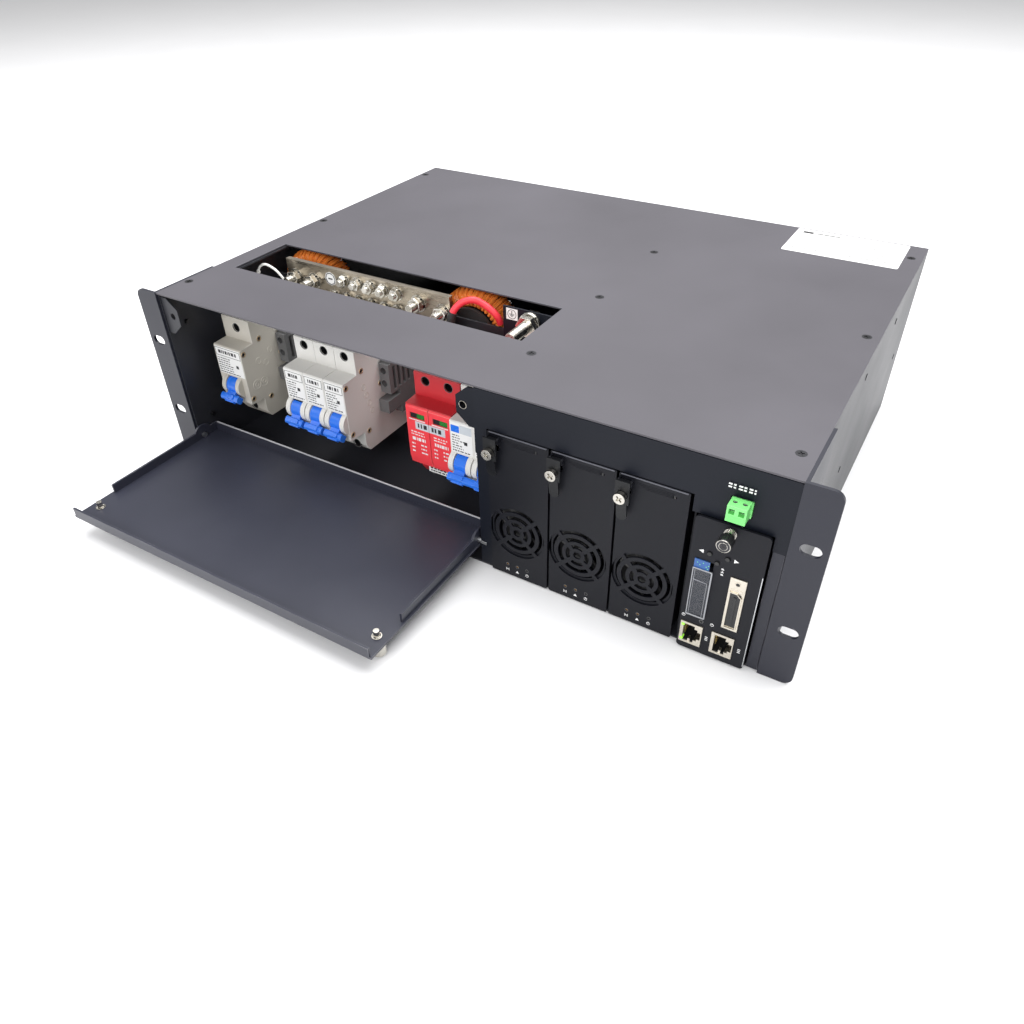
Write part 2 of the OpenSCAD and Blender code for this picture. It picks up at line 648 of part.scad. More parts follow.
// The latch: a bent strip on a cross pivot, its lower end a finger grip
module latch(i) {
    x = module_x + i * module_pitch + latch_x;
    y = face_y - latch_out;
    color("#3a3b42") seated() difference() {
        union() {
            rod_x(latch_pivot[0], latch_pivot[1], 1.6, x + 1.3, x + latch_w - 1.3);
            box([x + 1.3, y + 0.2, latch_pivot[1] - 1.6],
                [x + latch_w - 1.3, latch_pivot[0], latch_pivot[1] + 1.6]);
            box([x, y, 91], [x + latch_w, y + latch_t, 105.4]);
            across(x + 1.2, x + latch_w - 1.2) polygon([[y, 91.2], [y + latch_t, 91.2],
                [y + latch_t + 1.4, 82], [y + 1.4, 82]]);
            rod_y(x + latch_w / 2, 82, latch_w / 2 - 1.2, y + 1.3, y + latch_t + 1.3);
        }
        rod_y(x + latch_w / 2, latch_screw_z, 2, y - 1, y + latch_t + 1);
        rod_x(latch_pivot[0], latch_pivot[1], 0.88, x, x + latch_w);
    }
}
module latch_1() { latch(0); }
module latch_2() { latch(1); }
module latch_3() { latch(2); }
module latch_screw(i) {
    x = module_x + i * module_pitch + latch_x + latch_w / 2;
    y = face_y - latch_out;
    color("#d9d7d0") seated() difference() {
        union() {
            rod_y(x, latch_screw_z, 1.7, y - 1, face_y + 1.5);
            rod_y(x, latch_screw_z, 3.4, y - 3.6, y - 0.3);
            rod_y(x, latch_screw_z, 2.8, y + latch_t + 0.3, y + latch_t + 0.8);
        }
        for (a = [45, 135]) translate([x, y - 3.6, latch_screw_z]) rotate([0, a, 0])
            cube([4, 2.6, 0.9], center = true);
    }
}
module latch_screw_1() { latch_screw(0); }
module latch_screw_2() { latch_screw(1); }
module latch_screw_3() { latch_screw(2); }

module fan_rotor(i) {
    cx = module_x + i * module_pitch + module_w / 2 - 1.2;
    color("#1f2024") seated() {
        rod_y(cx, fan_z, 8.5, 1, 10);
        for (k = [0 : fan_blades - 1]) translate([cx, 5.5, fan_z]) rotate([0, k * 360 / fan_blades, 0])
            translate([8, 0, 0]) rotate([32, 0, 0]) translate([0, -0.6, -4.6]) cube([8.2, 1.2, 9.2]);
    }
}
module fan_rotor_1() { fan_rotor(0); }
module fan_rotor_2() { fan_rotor(1); }
module fan_rotor_3() { fan_rotor(2); }

ctl_w = 39.8;
ctl_back = ctl_y + 1.5;
screw_x = 193.9;
screw_z = 93;
button_at = [[185, 75.2], [194.7, 75.4], [189.7, 70.5]];
jack_x = [175.5, 193.8];
jack_z = [5.4, 21.8];
port_x = [198, 207.3];
port_z = [27.3, 65.1];
lcd_x = [177.8, 188.2];
lcd_z = [29.2, 69.2];

module controller() {
    color("#33343b") seated() {
        difference() {
            upright(ctl_y, ctl_back) rounded([ctl_x, 0.7], [ctl_x + ctl_w, ctl_top], 2.4);
            rod_y(screw_x, screw_z, 2.2, ctl_y - 1, ctl_back + 1);
            for (b = button_at) rod_y(b[0], b[1], 1.5, ctl_y - 1, ctl_back + 1);
            for (x = jack_x) box([x, ctl_y - 1, jack_z[0]], [x + 13.3, ctl_back + 1, jack_z[1]]);
            box([port_x[0], ctl_y - 1, port_z[0]], [port_x[1], ctl_back + 1, port_z[1]]);
            box([lcd_x[0], ctl_y - 1, lcd_z[0]], [lcd_x[1], ctl_back + 1, lcd_z[1]]);
            rod_y(186.9, 25.3, 1, ctl_y - 1, ctl_back + 1);
        }
        difference() {
            box([ctl_x + 0.7, ctl_back - 0.1, 1.6], [ctl_x + ctl_w - 0.8, module_d, 89.8]);
            box([ctl_x + 1.7, ctl_back - 1, 2.6], [ctl_x + ctl_w - 1.8, module_d - 1, 88.8]);
            box([ctl_x + 8, module_d - 2, 40], [ctl_x + 34, module_d + 1, 84]);
        }
    }
}
// Captive thumbscrew: collar, black knurled grip and a cross recess
module controller_screw() {
    color("#26262a") seated() difference() {
        union() {
            rod_y(screw_x, screw_z, 1.9, ctl_y - 4, 3);
            rod_y(screw_x, screw_z, 3.1, ctl_y - 4.6, ctl_y - 0.3);
            rod_y(screw_x, screw_z, 3, ctl_back + 0.3, ctl_back + 0.9);
            rod_y(screw_x, screw_z, 4.1, ctl_y - 12.6, ctl_y - 4.6);
        }
        for (a = [0, 90]) translate([screw_x, ctl_y - 12.6, screw_z]) rotate([0, a, 0])
            cube([4.4, 2.6, 1], center = true);
    }
}
module controller_display() {
    color("#1d2b4a") seated() {
        box([lcd_x[0] + 0.3, ctl_y - 1.4, lcd_z[0] + 0.3], [lcd_x[1] - 0.3, ctl_back + 3, 63.4]);
        box([lcd_x[0] + 0.3, ctl_y - 0.2, 63.3], [lcd_x[1] - 0.3, ctl_back + 3, lcd_z[1] - 0.3]);
    }
}
module controller_sockets() {
    color("#d8cdb8") seated() {
        for (x = jack_x) difference() {
            union() {
                box([x + 0.2, ctl_y - 0.7, jack_z[0] + 0.2], [x + 13.1, ctl_back - 0.2, jack_z[1] - 0.2]);
                box([x + 1, ctl_back - 0.3, jack_z[0] + 0.2], [x + 13.1, ctl_back + 14, jack_z[1] - 0.2]);
            }
            box([x + 2.3, ctl_y - 2, jack_z[0] + 2.2], [x + 11, ctl_back + 11, jack_z[1] - 3.4]);
        }
        difference() {
            box([port_x[0] + 0.2, ctl_y - 1, port_z[0] + 0.2], [port_x[1] - 0.2, ctl_back + 9, port_z[1] - 0.2]);
            box([port_x[0] + 2.2, ctl_y - 2, port_z[0] + 3], [port_x[1] - 2.2, ctl_y + 2.2, port_z[1] - 10]);
            rod_y((port_x[0] + port_x[1]) / 2, port_z[1] - 3.6, 1.3, ctl_y - 2, ctl_back + 4);
        }
    }
}
module button(b) {
    color("#17171a") seated() {
        rod_y(b[0], b[1], 1.2, ctl_y - 0.9, ctl_back + 4);
        rod_y(b[0], b[1], 1.9, ctl_back + 1.4, ctl_back + 3);
    }
}
module button_left() { button(button_at[0]); }
module button_right() { button(button_at[1]); }
module button_escape() { button(button_at[2]); }

plug_x = [190.7, 200.8];
plug_z = [104.2, 113.9];
plug_y = -11;
module input_header() {
    color("#7fce7e") seated() difference() {
        box([plug_x[0] - 0.6, -2.6, 103.2], [plug_x[1] + 0.6, 8, 112.7]);
        box([plug_x[0] + 0.6, -4, 104.4], [plug_x[1] - 0.6, 6, 111.5]);
    }
}
module input_plug() {
    color("#8fe88f") seated() difference() {
        union() {
            box([plug_x[0], plug_y, plug_z[0]], [plug_x[1], -2.9, plug_z[1]]);
            box([plug_x[0] + 1, -3, 104.8], [plug_x[1] - 1, 5, 111.1]);
        }
        for (k = [-1, 1]) {
            x = (plug_x[0] + plug_x[1]) / 2 + k * 2.5;
            box([x - 1.5, plug_y - 1, plug_z[0] + 4.6], [x + 1.5, plug_y + 5.5, plug_z[0] + 7.8]);
            rod_z(x, plug_y + 4.6, 1.3, plug_z[1] - 1.6, plug_z[1] + 1);
        }
    }
}

chassis_tray();
rear_panel();
top_cover();
front_panel();
ear_left();
ear_right();
bay_divider();
bay_guides();
backplane();
rail_bracket();
din_rail();
end_brackets();
battery_breaker();
battery_toggle();
load_breaker_1();
load_breaker_2();
load_breaker_3();
load_toggle_1();
load_toggle_2();
load_toggle_3();
mains_breaker();
mains_toggle();
surge_base();
surge_cartridge_1();
surge_cartridge_2();
bus_bar();
bus_bar_posts();
bus_bar_bolts();
chokes();
earth_bracket();
earth_stud();
battery_wire();
sense_wire();
door();
door_screw_left();
door_screw_right();
hinge_pins();
cover_screws();
ear_screws();
rectifier_1();
rectifier_2();
rectifier_3();
latch_1();
latch_2();
latch_3();
latch_screw_1();
latch_screw_2();
latch_screw_3();
fan_rotor_1();
fan_rotor_2();
fan_rotor_3();
controller();
controller_screw();
controller_display();
controller_sockets();
button_left();
button_right();
button_escape();
input_header();
input_plug();
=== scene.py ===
# %% [markdown]
# # A rack power system, dressed for its portrait
# The sheet metal, breakers and plug-in modules of this unit were designed in CAD and arrive
# here as a fixed frame. This lesson gives them rounded edges, coatings, labels and the small
# fittings that a CAD drawing leaves out. Every length below is in millimetres until a piece
# is finished, and is then scaled to metres.

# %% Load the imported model
import bpy
import bmesh
import json
import math
import random
from mathutils import Matrix, Vector


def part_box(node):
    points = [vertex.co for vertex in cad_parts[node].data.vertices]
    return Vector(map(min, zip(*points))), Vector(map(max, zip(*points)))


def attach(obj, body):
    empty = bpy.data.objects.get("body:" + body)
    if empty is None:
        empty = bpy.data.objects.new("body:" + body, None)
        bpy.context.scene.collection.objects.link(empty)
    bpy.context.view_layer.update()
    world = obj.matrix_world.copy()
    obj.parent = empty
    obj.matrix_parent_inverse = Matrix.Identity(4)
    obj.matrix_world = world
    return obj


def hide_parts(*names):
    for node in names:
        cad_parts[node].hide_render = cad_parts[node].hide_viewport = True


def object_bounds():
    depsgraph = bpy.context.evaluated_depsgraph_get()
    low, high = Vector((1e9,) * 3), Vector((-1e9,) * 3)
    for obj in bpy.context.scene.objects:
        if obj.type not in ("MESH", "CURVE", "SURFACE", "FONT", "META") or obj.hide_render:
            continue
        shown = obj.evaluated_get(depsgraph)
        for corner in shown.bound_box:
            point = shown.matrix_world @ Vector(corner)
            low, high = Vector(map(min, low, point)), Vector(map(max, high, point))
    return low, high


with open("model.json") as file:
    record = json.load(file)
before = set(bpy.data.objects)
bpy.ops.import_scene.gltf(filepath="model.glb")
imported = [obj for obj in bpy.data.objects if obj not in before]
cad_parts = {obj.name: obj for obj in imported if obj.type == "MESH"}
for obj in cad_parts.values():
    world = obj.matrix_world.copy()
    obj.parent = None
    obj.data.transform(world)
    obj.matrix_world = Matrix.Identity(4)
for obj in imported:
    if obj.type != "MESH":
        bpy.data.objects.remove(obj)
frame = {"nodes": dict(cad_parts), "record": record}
cad_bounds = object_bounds()
MM = 0.001
X, Y, Z = (1, 0, 0), (0, 1, 0), (0, 0, 1)
FROM_FLOOR = -66.5  # turns a height above the floor into a height in the frame
WELD = 2e-6  # metres; loose triangle corners closer than this are one corner

# %% [markdown]
# ## Camera and studio
# The camera stands in front of the right ear and looks down over the cover. A wide lens close
# to the unit gives the strong perspective of a tabletop product shot. It is made first so that
# every later piece can be judged in its view.

# %% Camera
def aim(turn, down, roll):
    """Right, up and back directions of a camera turned left, tilted down and rolled, in degrees."""
    a, e, r = (math.radians(v) for v in (turn, down, roll))
    ahead = Vector((-math.sin(a) * math.cos(e), math.cos(a) * math.cos(e), -math.sin(e)))
    level = Vector((math.cos(a), math.sin(a), 0))
    above = level.cross(ahead)
    right = level * math.cos(r) + above * math.sin(r)
    return Matrix((right, right.cross(ahead), -ahead)).transposed()

camera = bpy.data.objects.new("camera", bpy.data.cameras.new("camera"))
camera.data.lens = 28.78
camera.data.sensor_width = 36
camera.data.clip_start = 0.01
camera.matrix_world = (Matrix.Translation((0.26506, -0.33300, 0.29311))
                       @ aim(31.49, 38.31, -1.09).to_4x4())
bpy.context.scene.collection.objects.link(camera)
bpy.context.scene.camera = camera
print("camera lens", camera.data.lens, "mm")

# %% [markdown]
# ## Light
# A product table is lit by a few large soft sources. Area lamps give that: a big panel overhead
# lights the cover evenly, weaker ones in front and on the left fill the breakers, and a white
# world stands in for the room. Point lamps would cast hard shadows of every screw.

# %% Lights
def soft_light(name, at, towards, size, power):
    lamp = bpy.data.lights.new(name, "AREA")
    lamp.shape = "RECTANGLE"
    lamp.size, lamp.size_y = size
    lamp.energy = power
    obj = bpy.data.objects.new(name, lamp)
    way = Vector(towards) - Vector(at)
    obj.matrix_world = Matrix.Translation(at) @ way.to_track_quat("-Z", "Y").to_matrix().to_4x4()
    bpy.context.scene.collection.objects.link(obj)
    print(name, "light,", power, "W")

soft_light("overhead", (0.1, 0.6, 1.8), (0, 0.1, 0), (2.6, 2.0), 78)
soft_light("front", (0.3, -1.8, 1.2), (0, 0, 0), (1.6, 1.0), 26)
soft_light("left", (-1.6, -0.5, 0.9), (0, 0.1, 0), (1.2, 1.0), 10)
world = bpy.data.worlds.new("studio")
bpy.context.scene.world = world
world.use_nodes = True
world.node_tree.nodes["Background"].inputs["Color"].default_value = (1, 1, 1, 1)
world.node_tree.nodes["Background"].inputs["Strength"].default_value = 0.5
bpy.context.scene.view_settings.view_transform = "Standard"

# %% [markdown]
# ## Floor
# The unit stands on a plain white bench. One large grid face is enough, laid just under the
# lowest corner of the model.

# %% Floor
FLOOR = cad_bounds[0][2]
floor_mesh = bmesh.new()
bmesh.ops.create_grid(floor_mesh, x_segments=1, y_segments=1, size=6,
                      matrix=Matrix.Translation((0, 0, FLOOR - 0.0002)))
floor = bpy.data.objects.new("floor", bpy.data.meshes.new("floor"))
floor_mesh.to_mesh(floor.data)
bpy.context.scene.collection.objects.link(floor)
print("floor at", round(FLOOR, 4))

# %% [markdown]
# ## Effects that many finishes share
# A node group is built once and placed in each material with its own values. Three are enough
# here: a fine grain for coatings and mouldings, brush marks for bare metal, and wear that shows
# only on edges, where a light worn tone also paints a sheen. The wear reads an attribute named
# edge, which the bevelling step below writes on the narrow faces it makes, so it needs no camera.

# %% A helper that builds a node group
def group(name, ins, outs):
    tree = bpy.data.node_groups.new(name, "ShaderNodeTree")
    for label, kind, value in ins:
        sock = tree.interface.new_socket(label, in_out="INPUT", socket_type=kind)
        sock.default_value = value
    for label, kind in outs:
        tree.interface.new_socket(label, in_out="OUTPUT", socket_type=kind)
    return tree, tree.nodes.new("NodeGroupInput"), tree.nodes.new("NodeGroupOutput")

def node(tree, kind, links=(), **values):
    """Adds a node, sets its plain settings, and links or fills its inputs by name or number."""
    made = tree.nodes.new(kind)
    for key, value in values.items():
        setattr(made, key, value)
    for key, value in links:
        if isinstance(value, bpy.types.NodeSocket):
            tree.links.new(value, made.inputs[key])
        else:
            made.inputs[key].default_value = value
    return made

print("group() makes an empty node tree, node() fills it")

# %% [markdown]
# ### Grain
# Powder coat looks like fine orange peel whose shade drifts slowly. Two noise textures do it,
# one fine for the bump and one slow for the tone. Both read Object coordinates, so they move
# with the piece.

# %% Grain group: fine texture, and slow drift of tone
grain, gi, go = group("grain", [("Scale", "NodeSocketFloat", 900.0), ("Drift", "NodeSocketFloat", 9.0)],
                      [("Height", "NodeSocketFloat"), ("Tone", "NodeSocketFloat")])
place = node(grain, "ShaderNodeTexCoord")
fine = node(grain, "ShaderNodeTexNoise", [("Vector", place.outputs["Object"]), ("Scale", gi.outputs["Scale"]),
                                          ("Detail", 3.0), ("Roughness", 0.6)])
slow = node(grain, "ShaderNodeTexNoise", [("Vector", place.outputs["Object"]), ("Scale", gi.outputs["Drift"]),
                                          ("Detail", 4.0), ("Roughness", 0.55)])
grain.links.new(fine.outputs["Fac"], go.inputs["Height"])
grain.links.new(slow.outputs["Fac"], go.inputs["Tone"])
print("grain group:", len(grain.nodes), "nodes")

# %% [markdown]
# ### Wear and painted edge sheen
# Handling rubs paint from edges first. The mask is the edge attribute times a patchy noise, so
# the wear breaks up as it does on real sheet metal. Where a finish gives the worn tone a light
# colour, the same mask also paints a highlight on the bevels.

# %% Wear group: where bevelled edges have been rubbed, and where a light tone paints their sheen
wear_and_sheen, wi, wo = group("edge_wear_and_sheen", [("Amount", "NodeSocketFloat", 0.5), ("Scale", "NodeSocketFloat", 60.0)],
                     [("Mask", "NodeSocketFloat")])
place = node(wear_and_sheen, "ShaderNodeTexCoord")
edge = node(wear_and_sheen, "ShaderNodeAttribute", attribute_name="edge")
patch = node(wear_and_sheen, "ShaderNodeTexNoise", [("Vector", place.outputs["Object"]), ("Scale", wi.outputs["Scale"]),
                                          ("Detail", 5.0)])
ramp = node(wear_and_sheen, "ShaderNodeMapRange", [("Value", patch.outputs["Fac"]), ("From Min", 0.38),
                                         ("From Max", 0.62)])
both = node(wear_and_sheen, "ShaderNodeMath", [(0, ramp.outputs["Result"]), (1, edge.outputs["Fac"])],
            operation="MULTIPLY")
some = node(wear_and_sheen, "ShaderNodeMath", [(0, both.outputs[0]), (1, wi.outputs["Amount"])],
            operation="MULTIPLY")
wear_and_sheen.links.new(some.outputs[0], wo.inputs["Mask"])
print("wear group:", len(wear_and_sheen.nodes), "nodes")

# %% [markdown]
# ### Brush marks
# Plated and rolled metal carries fine lines in one direction. Stretching the coordinates before
# the noise draws the lines, which is cheaper than modelling or painting them.

# %% Brush group: fine lines along one axis
brush, bi, bo = group("brush_marks", [("Stretch", "NodeSocketVector", (20.0, 900.0, 900.0))],
                      [("Height", "NodeSocketFloat"), ("Tone", "NodeSocketFloat")])
place = node(brush, "ShaderNodeTexCoord")
pull = node(brush, "ShaderNodeVectorMath", [(0, place.outputs["Object"]), (1, bi.outputs["Stretch"])],
            operation="MULTIPLY")
lines = node(brush, "ShaderNodeTexNoise", [("Vector", pull.outputs[0]), ("Scale", 1.0), ("Detail", 4.0)])
cloud = node(brush, "ShaderNodeTexNoise", [("Vector", place.outputs["Object"]), ("Scale", 45.0),
                                           ("Detail", 5.0)])
brush.links.new(lines.outputs["Fac"], bo.inputs["Height"])
brush.links.new(cloud.outputs["Fac"], bo.inputs["Tone"])
print("groups:", [g.name for g in bpy.data.node_groups])

# %% [markdown]
# ## Finishes
# Powder coat, moulded plastic and plated metal cover nearly everything. Each builder makes one
# material from a colour, a roughness and the shared groups. Colour drifts slightly over the
# surface, the grain feeds a Bump node, and coated edges lighten where they are worn. Where the
# worn tone is light, the same mix also paints a sheen on those edges.

# %% Powder coat and moulded plastic
def blank(name):
    mat = bpy.data.materials.new(name)
    mat.use_nodes = True
    tree = mat.node_tree
    return mat, tree, tree.nodes["Principled BSDF"]

def shade(colour, k):
    return tuple(min(1, c * k) for c in colour[:3]) + (1,)

def coated(name, colour, rough, scale=1500, bump=0.1, worn_and_sheen=(0.3, 0.3, 0.31, 1), amount=0.4,
           drift=0.25, specular=0.5, coat=0.0):
    mat, tree, bsdf = blank(name)
    g = node(tree, "ShaderNodeGroup", node_tree=grain)
    g.inputs["Scale"].default_value = scale
    w = node(tree, "ShaderNodeGroup", node_tree=wear_and_sheen)
    w.inputs["Amount"].default_value = amount
    tone = node(tree, "ShaderNodeMix", [(0, g.outputs["Tone"]), (6, shade(colour, 1 - drift)),
                                        (7, shade(colour, 1 + drift))], data_type="RGBA")
    # the edge mask mixes in the worn tone: real wear, and a painted sheen where that tone is light
    skin = node(tree, "ShaderNodeMix", [(0, w.outputs["Mask"]), (6, tone.outputs[2]), (7, worn_and_sheen)],
                data_type="RGBA")
    tree.links.new(skin.outputs[2], bsdf.inputs["Base Color"])
    gloss = node(tree, "ShaderNodeMapRange", [("Value", g.outputs["Tone"]), ("From Min", 0.3),
                                              ("From Max", 0.7), ("To Min", rough - 0.05),
                                              ("To Max", rough + 0.06)])
    tree.links.new(gloss.outputs["Result"], bsdf.inputs["Roughness"])
    bumpy = node(tree, "ShaderNodeBump", [("Height", g.outputs["Height"]), ("Strength", bump),
                                          ("Distance", 0.0002)])
    tree.links.new(bumpy.outputs["Normal"], bsdf.inputs["Normal"])
    bsdf.inputs["Specular IOR Level"].default_value = specular
    bsdf.inputs["Coat Weight"].default_value = coat
    bsdf.inputs["Coat Roughness"].default_value = 0.12
    return mat

print("coated() uses the groups", grain.name, "and", wear_and_sheen.name)

# %% [markdown]
# ### Plated metal
# Zinc, nickel and tin differ from plastic in one switch, Metallic at 1, and in their brushed
# grain. A second tone stands for stains, such as the tarnish on the bus bar.

# %% Plated metal
def plated(name, colour, rough, stretch=(25, 700, 700), bump=0.08, stain=None):
    mat, tree, bsdf = blank(name)
    b = node(tree, "ShaderNodeGroup", node_tree=brush)
    b.inputs["Stretch"].default_value = stretch
    low = stain if stain else shade(colour, 0.78)
    tone = node(tree, "ShaderNodeMix", [(0, b.outputs["Tone"]), (6, low), (7, shade(colour, 1.12))],
                data_type="RGBA")
    tree.links.new(tone.outputs[2], bsdf.inputs["Base Color"])
    gloss = node(tree, "ShaderNodeMapRange", [("Value", b.outputs["Height"]), ("From Min", 0.3),
                                              ("From Max", 0.7), ("To Min", rough - 0.06),
                                              ("To Max", rough + 0.1)])
    tree.links.new(gloss.outputs["Result"], bsdf.inputs["Roughness"])
    bumpy = node(tree, "ShaderNodeBump", [("Height", b.outputs["Height"]), ("Strength", bump),
                                          ("Distance", 0.0001)])
    tree.links.new(bumpy.outputs["Normal"], bsdf.inputs["Normal"])
    bsdf.inputs["Metallic"].default_value = 1.0
    return mat

print("plated() uses the group", brush.name)

# %% [markdown]
# ### The set of finishes
# All finishes are kept in one table, so that a colour is tuned in one place and every piece asks
# for it by a short name.

# %% The materials of this unit
look = {
    "cover": coated("cover_powder_coat", (0.078, 0.074, 0.086), 0.5, bump=0.14,
                    worn_and_sheen=(0.34, 0.34, 0.35, 1), amount=0.35, specular=0.4),
    "shell": coated("shell_powder_coat", (0.022, 0.023, 0.029), 0.44, bump=0.14, specular=0.45),
    "front": coated("front_powder_coat", (0.006, 0.0075, 0.013), 0.42, bump=0.12,
                    worn_and_sheen=(0.12, 0.12, 0.14, 1), specular=0.2),
    "door": coated("door_powder_coat", (0.028, 0.030, 0.045), 0.36, bump=0.1,
                   worn_and_sheen=(0.45, 0.45, 0.47, 1), amount=0.5, specular=0.4),
    "module": coated("module_powder_coat", (0.0065, 0.007, 0.0105), 0.46, scale=1900, bump=0.2,
                     worn_and_sheen=(0.1, 0.1, 0.12, 1), specular=0.22),
    # the latch's light worn tone and high amount paint a highlight on its bevels, as well as wear
    "latch": coated("latch_plastic", (0.006, 0.0065, 0.008), 0.36, bump=0.06,
                    worn_and_sheen=(0.3, 0.3, 0.33, 1), amount=0.75, specular=0.3),
    "breaker": coated("breaker_moulding", (0.70, 0.69, 0.66), 0.42, scale=900, bump=0.05,
                      worn_and_sheen=(0.85, 0.85, 0.84, 1), drift=0.03),
    "breaker_warm": coated("battery_breaker_moulding", (0.56, 0.53, 0.47), 0.45, scale=900, bump=0.06,
                           worn_and_sheen=(0.75, 0.74, 0.7, 1), drift=0.05),
    # the toggles' light worn tone paints a highlight on their bevels, as well as wear
    "blue": coated("toggle_blue", (0.022, 0.17, 0.78), 0.28, scale=700, bump=0.04, worn_and_sheen=(0.16, 0.36, 0.85, 1),
                   drift=0.06),
    "red": coated("cartridge_red", (0.86, 0.055, 0.07), 0.34, scale=1100, bump=0.05,
                  worn_and_sheen=(0.95, 0.3, 0.28, 1), drift=0.05),
    "dark_red": coated("surge_base_red", (0.55, 0.025, 0.034), 0.4, scale=1100, bump=0.07,
                       worn_and_sheen=(0.7, 0.1, 0.1, 1), drift=0.08),
    "grey": coated("bracket_grey", (0.13, 0.13, 0.132), 0.5, scale=800, bump=0.08, worn_and_sheen=(0.3, 0.3, 0.3, 1)),
    "black": coated("black_moulding", (0.012, 0.012, 0.013), 0.35, scale=900, bump=0.05,
                    worn_and_sheen=(0.06, 0.06, 0.06, 1)),
    "green": coated("plug_green", (0.2, 0.72, 0.2), 0.38, scale=900, bump=0.05, worn_and_sheen=(0.45, 0.9, 0.42, 1),
                    drift=0.06),
    "status": coated("status_green", (0.02, 0.2, 0.03), 0.25, scale=300, bump=0.1, drift=0.4, coat=0.4),
    # painted highlight: a light grey for the bright fold along the top of the door's lip
    "edge_grey": coated("painted_edge_highlight", (0.4, 0.4, 0.42), 0.3, scale=900, bump=0.2, drift=0.35),
    # painted highlights: a dim light grey for the bright top folds of the modules and the rims of the cover's
    # window
    "edge_dim": coated("painted_fold_highlight", (0.085, 0.087, 0.105), 0.36, scale=900, bump=0.2, drift=0.4),
    "rivet": plated("brass_rivet", (0.62, 0.47, 0.3), 0.4, stretch=(300, 300, 300), bump=0.1),
    "ear": coated("ear_powder_coat", (0.016, 0.017, 0.027), 0.4, bump=0.12,
                  worn_and_sheen=(0.2, 0.2, 0.23, 1), specular=0.4),
    "amber": coated("amber_lens", (0.16, 0.09, 0.03), 0.2, scale=500, bump=0.05, coat=0.5),
    "board": coated("board_green", (0.02, 0.11, 0.045), 0.3, scale=300, bump=0.2, worn_and_sheen=(0.3, 0.28, 0.14, 1)),
    "post": coated("post_red", (0.2, 0.02, 0.015), 0.4, scale=900, bump=0.06),
    "label": coated("label_paper", (0.82, 0.82, 0.81), 0.55, scale=1200, bump=0.04, worn_and_sheen=(0.6, 0.6, 0.6, 1),
                    drift=0.02),
    "sticker": coated("grey_sticker", (0.56, 0.6, 0.64), 0.4, scale=1200, bump=0.03, worn_and_sheen=(0.7, 0.7, 0.72, 1),
                      drift=0.03),
    "ink": coated("black_ink", (0.02, 0.02, 0.022), 0.5, scale=1500, bump=0.03, worn_and_sheen=(0.1, 0.1, 0.1, 1)),
    "white_ink": coated("white_ink", (0.8, 0.8, 0.8), 0.5, scale=1500, bump=0.05, worn_and_sheen=(0.7, 0.7, 0.7, 1),
                        drift=0.08),
    "rubber": coated("black_rubber", (0.016, 0.016, 0.016), 0.6, scale=700, bump=0.12,
                     worn_and_sheen=(0.05, 0.05, 0.05, 1)),
    "red_wire": coated("red_insulation", (0.78, 0.035, 0.055), 0.38, scale=900, bump=0.05,
                       worn_and_sheen=(0.9, 0.2, 0.2, 1), drift=0.08),
    "white_wire": coated("white_insulation", (0.82, 0.82, 0.8), 0.4, scale=900, bump=0.05,
                         worn_and_sheen=(0.9, 0.9, 0.9, 1), drift=0.04),
    "copper": coated("enamelled_copper", (0.95, 0.24, 0.045), 0.24, scale=500, bump=0.08,
                     worn_and_sheen=(0.9, 0.45, 0.2, 1), drift=0.3, coat=0.8),
    "zinc": plated("zinc_plate", (0.6, 0.61, 0.62), 0.34),
    "nickel": plated("nickel_plate", (0.66, 0.64, 0.59), 0.2, stretch=(400, 400, 400), bump=0.05,
                     stain=(0.36, 0.34, 0.3, 1)),
    "bus": plated("tinned_bus_bar", (0.6, 0.54, 0.45), 0.28, stretch=(30, 500, 500), bump=0.25,
                  stain=(0.2, 0.165, 0.12, 1)),
    "tin": plated("tinned_shell", (0.7, 0.65, 0.56), 0.32, stretch=(300, 300, 60), bump=0.1),
    "black_steel": plated("blackened_steel", (0.06, 0.06, 0.065), 0.38, stretch=(400, 400, 400)),
    "gold": plated("gold_contacts", (0.95, 0.7, 0.3), 0.25, stretch=(300, 300, 60)),
}
look["bench"] = coated("studio_floor", (0.86, 0.86, 0.87), 0.6, scale=30, bump=0.0, drift=0.01, specular=0.2)
floor.data.materials.append(look["bench"])
print(len(look), "finishes")

# %% [markdown]
# ## From CAD solid to finished piece
# A CAD solid has knife-sharp edges, and nothing in a real workshop does. The helper below
# copies a solid's mesh, merges its loose triangles, dissolves the flat ones and bevels every
# sharp outer edge. The narrow new faces are marked as edge so that the wear, and the sheen
# painted with it, can find them. A weighted-normal modifier then keeps the flat faces looking flat.

# %% Helpers for finishing
def corners(name):
    """A CAD node's lowest and highest corner, in millimetres."""
    lo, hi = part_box(name)
    return lo / MM, hi / MM

def mark_sharp(bm, angle=38):
    for e in bm.edges:
        e.smooth = len(e.link_faces) == 2 and e.calc_face_angle(0) < math.radians(angle)
    for f in bm.faces:
        f.smooth = True

def finish_piece(name, bm, finish, body="chassis", scale=MM, replaces=None, even=True):
    """Turns a bmesh into a named object that rides on a CAD body."""
    if scale != 1:
        bmesh.ops.scale(bm, vec=(scale,) * 3, verts=bm.verts)
    mark_sharp(bm)
    mesh = bpy.data.meshes.new(name)
    bm.to_mesh(mesh)
    bm.free()
    obj = bpy.data.objects.new(name, mesh)
    bpy.context.scene.collection.objects.link(obj)
    for f in (finish if isinstance(finish, (list, tuple)) else [finish]):
        mesh.materials.append(look[f])
    if even:
        mod = obj.modifiers.new("even_normals", "WEIGHTED_NORMAL")
        mod.keep_sharp = True
    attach(obj, body)
    if replaces:
        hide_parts(replaces)
    print(f"{name}: {len(mesh.polygons)} faces, rides {body}")

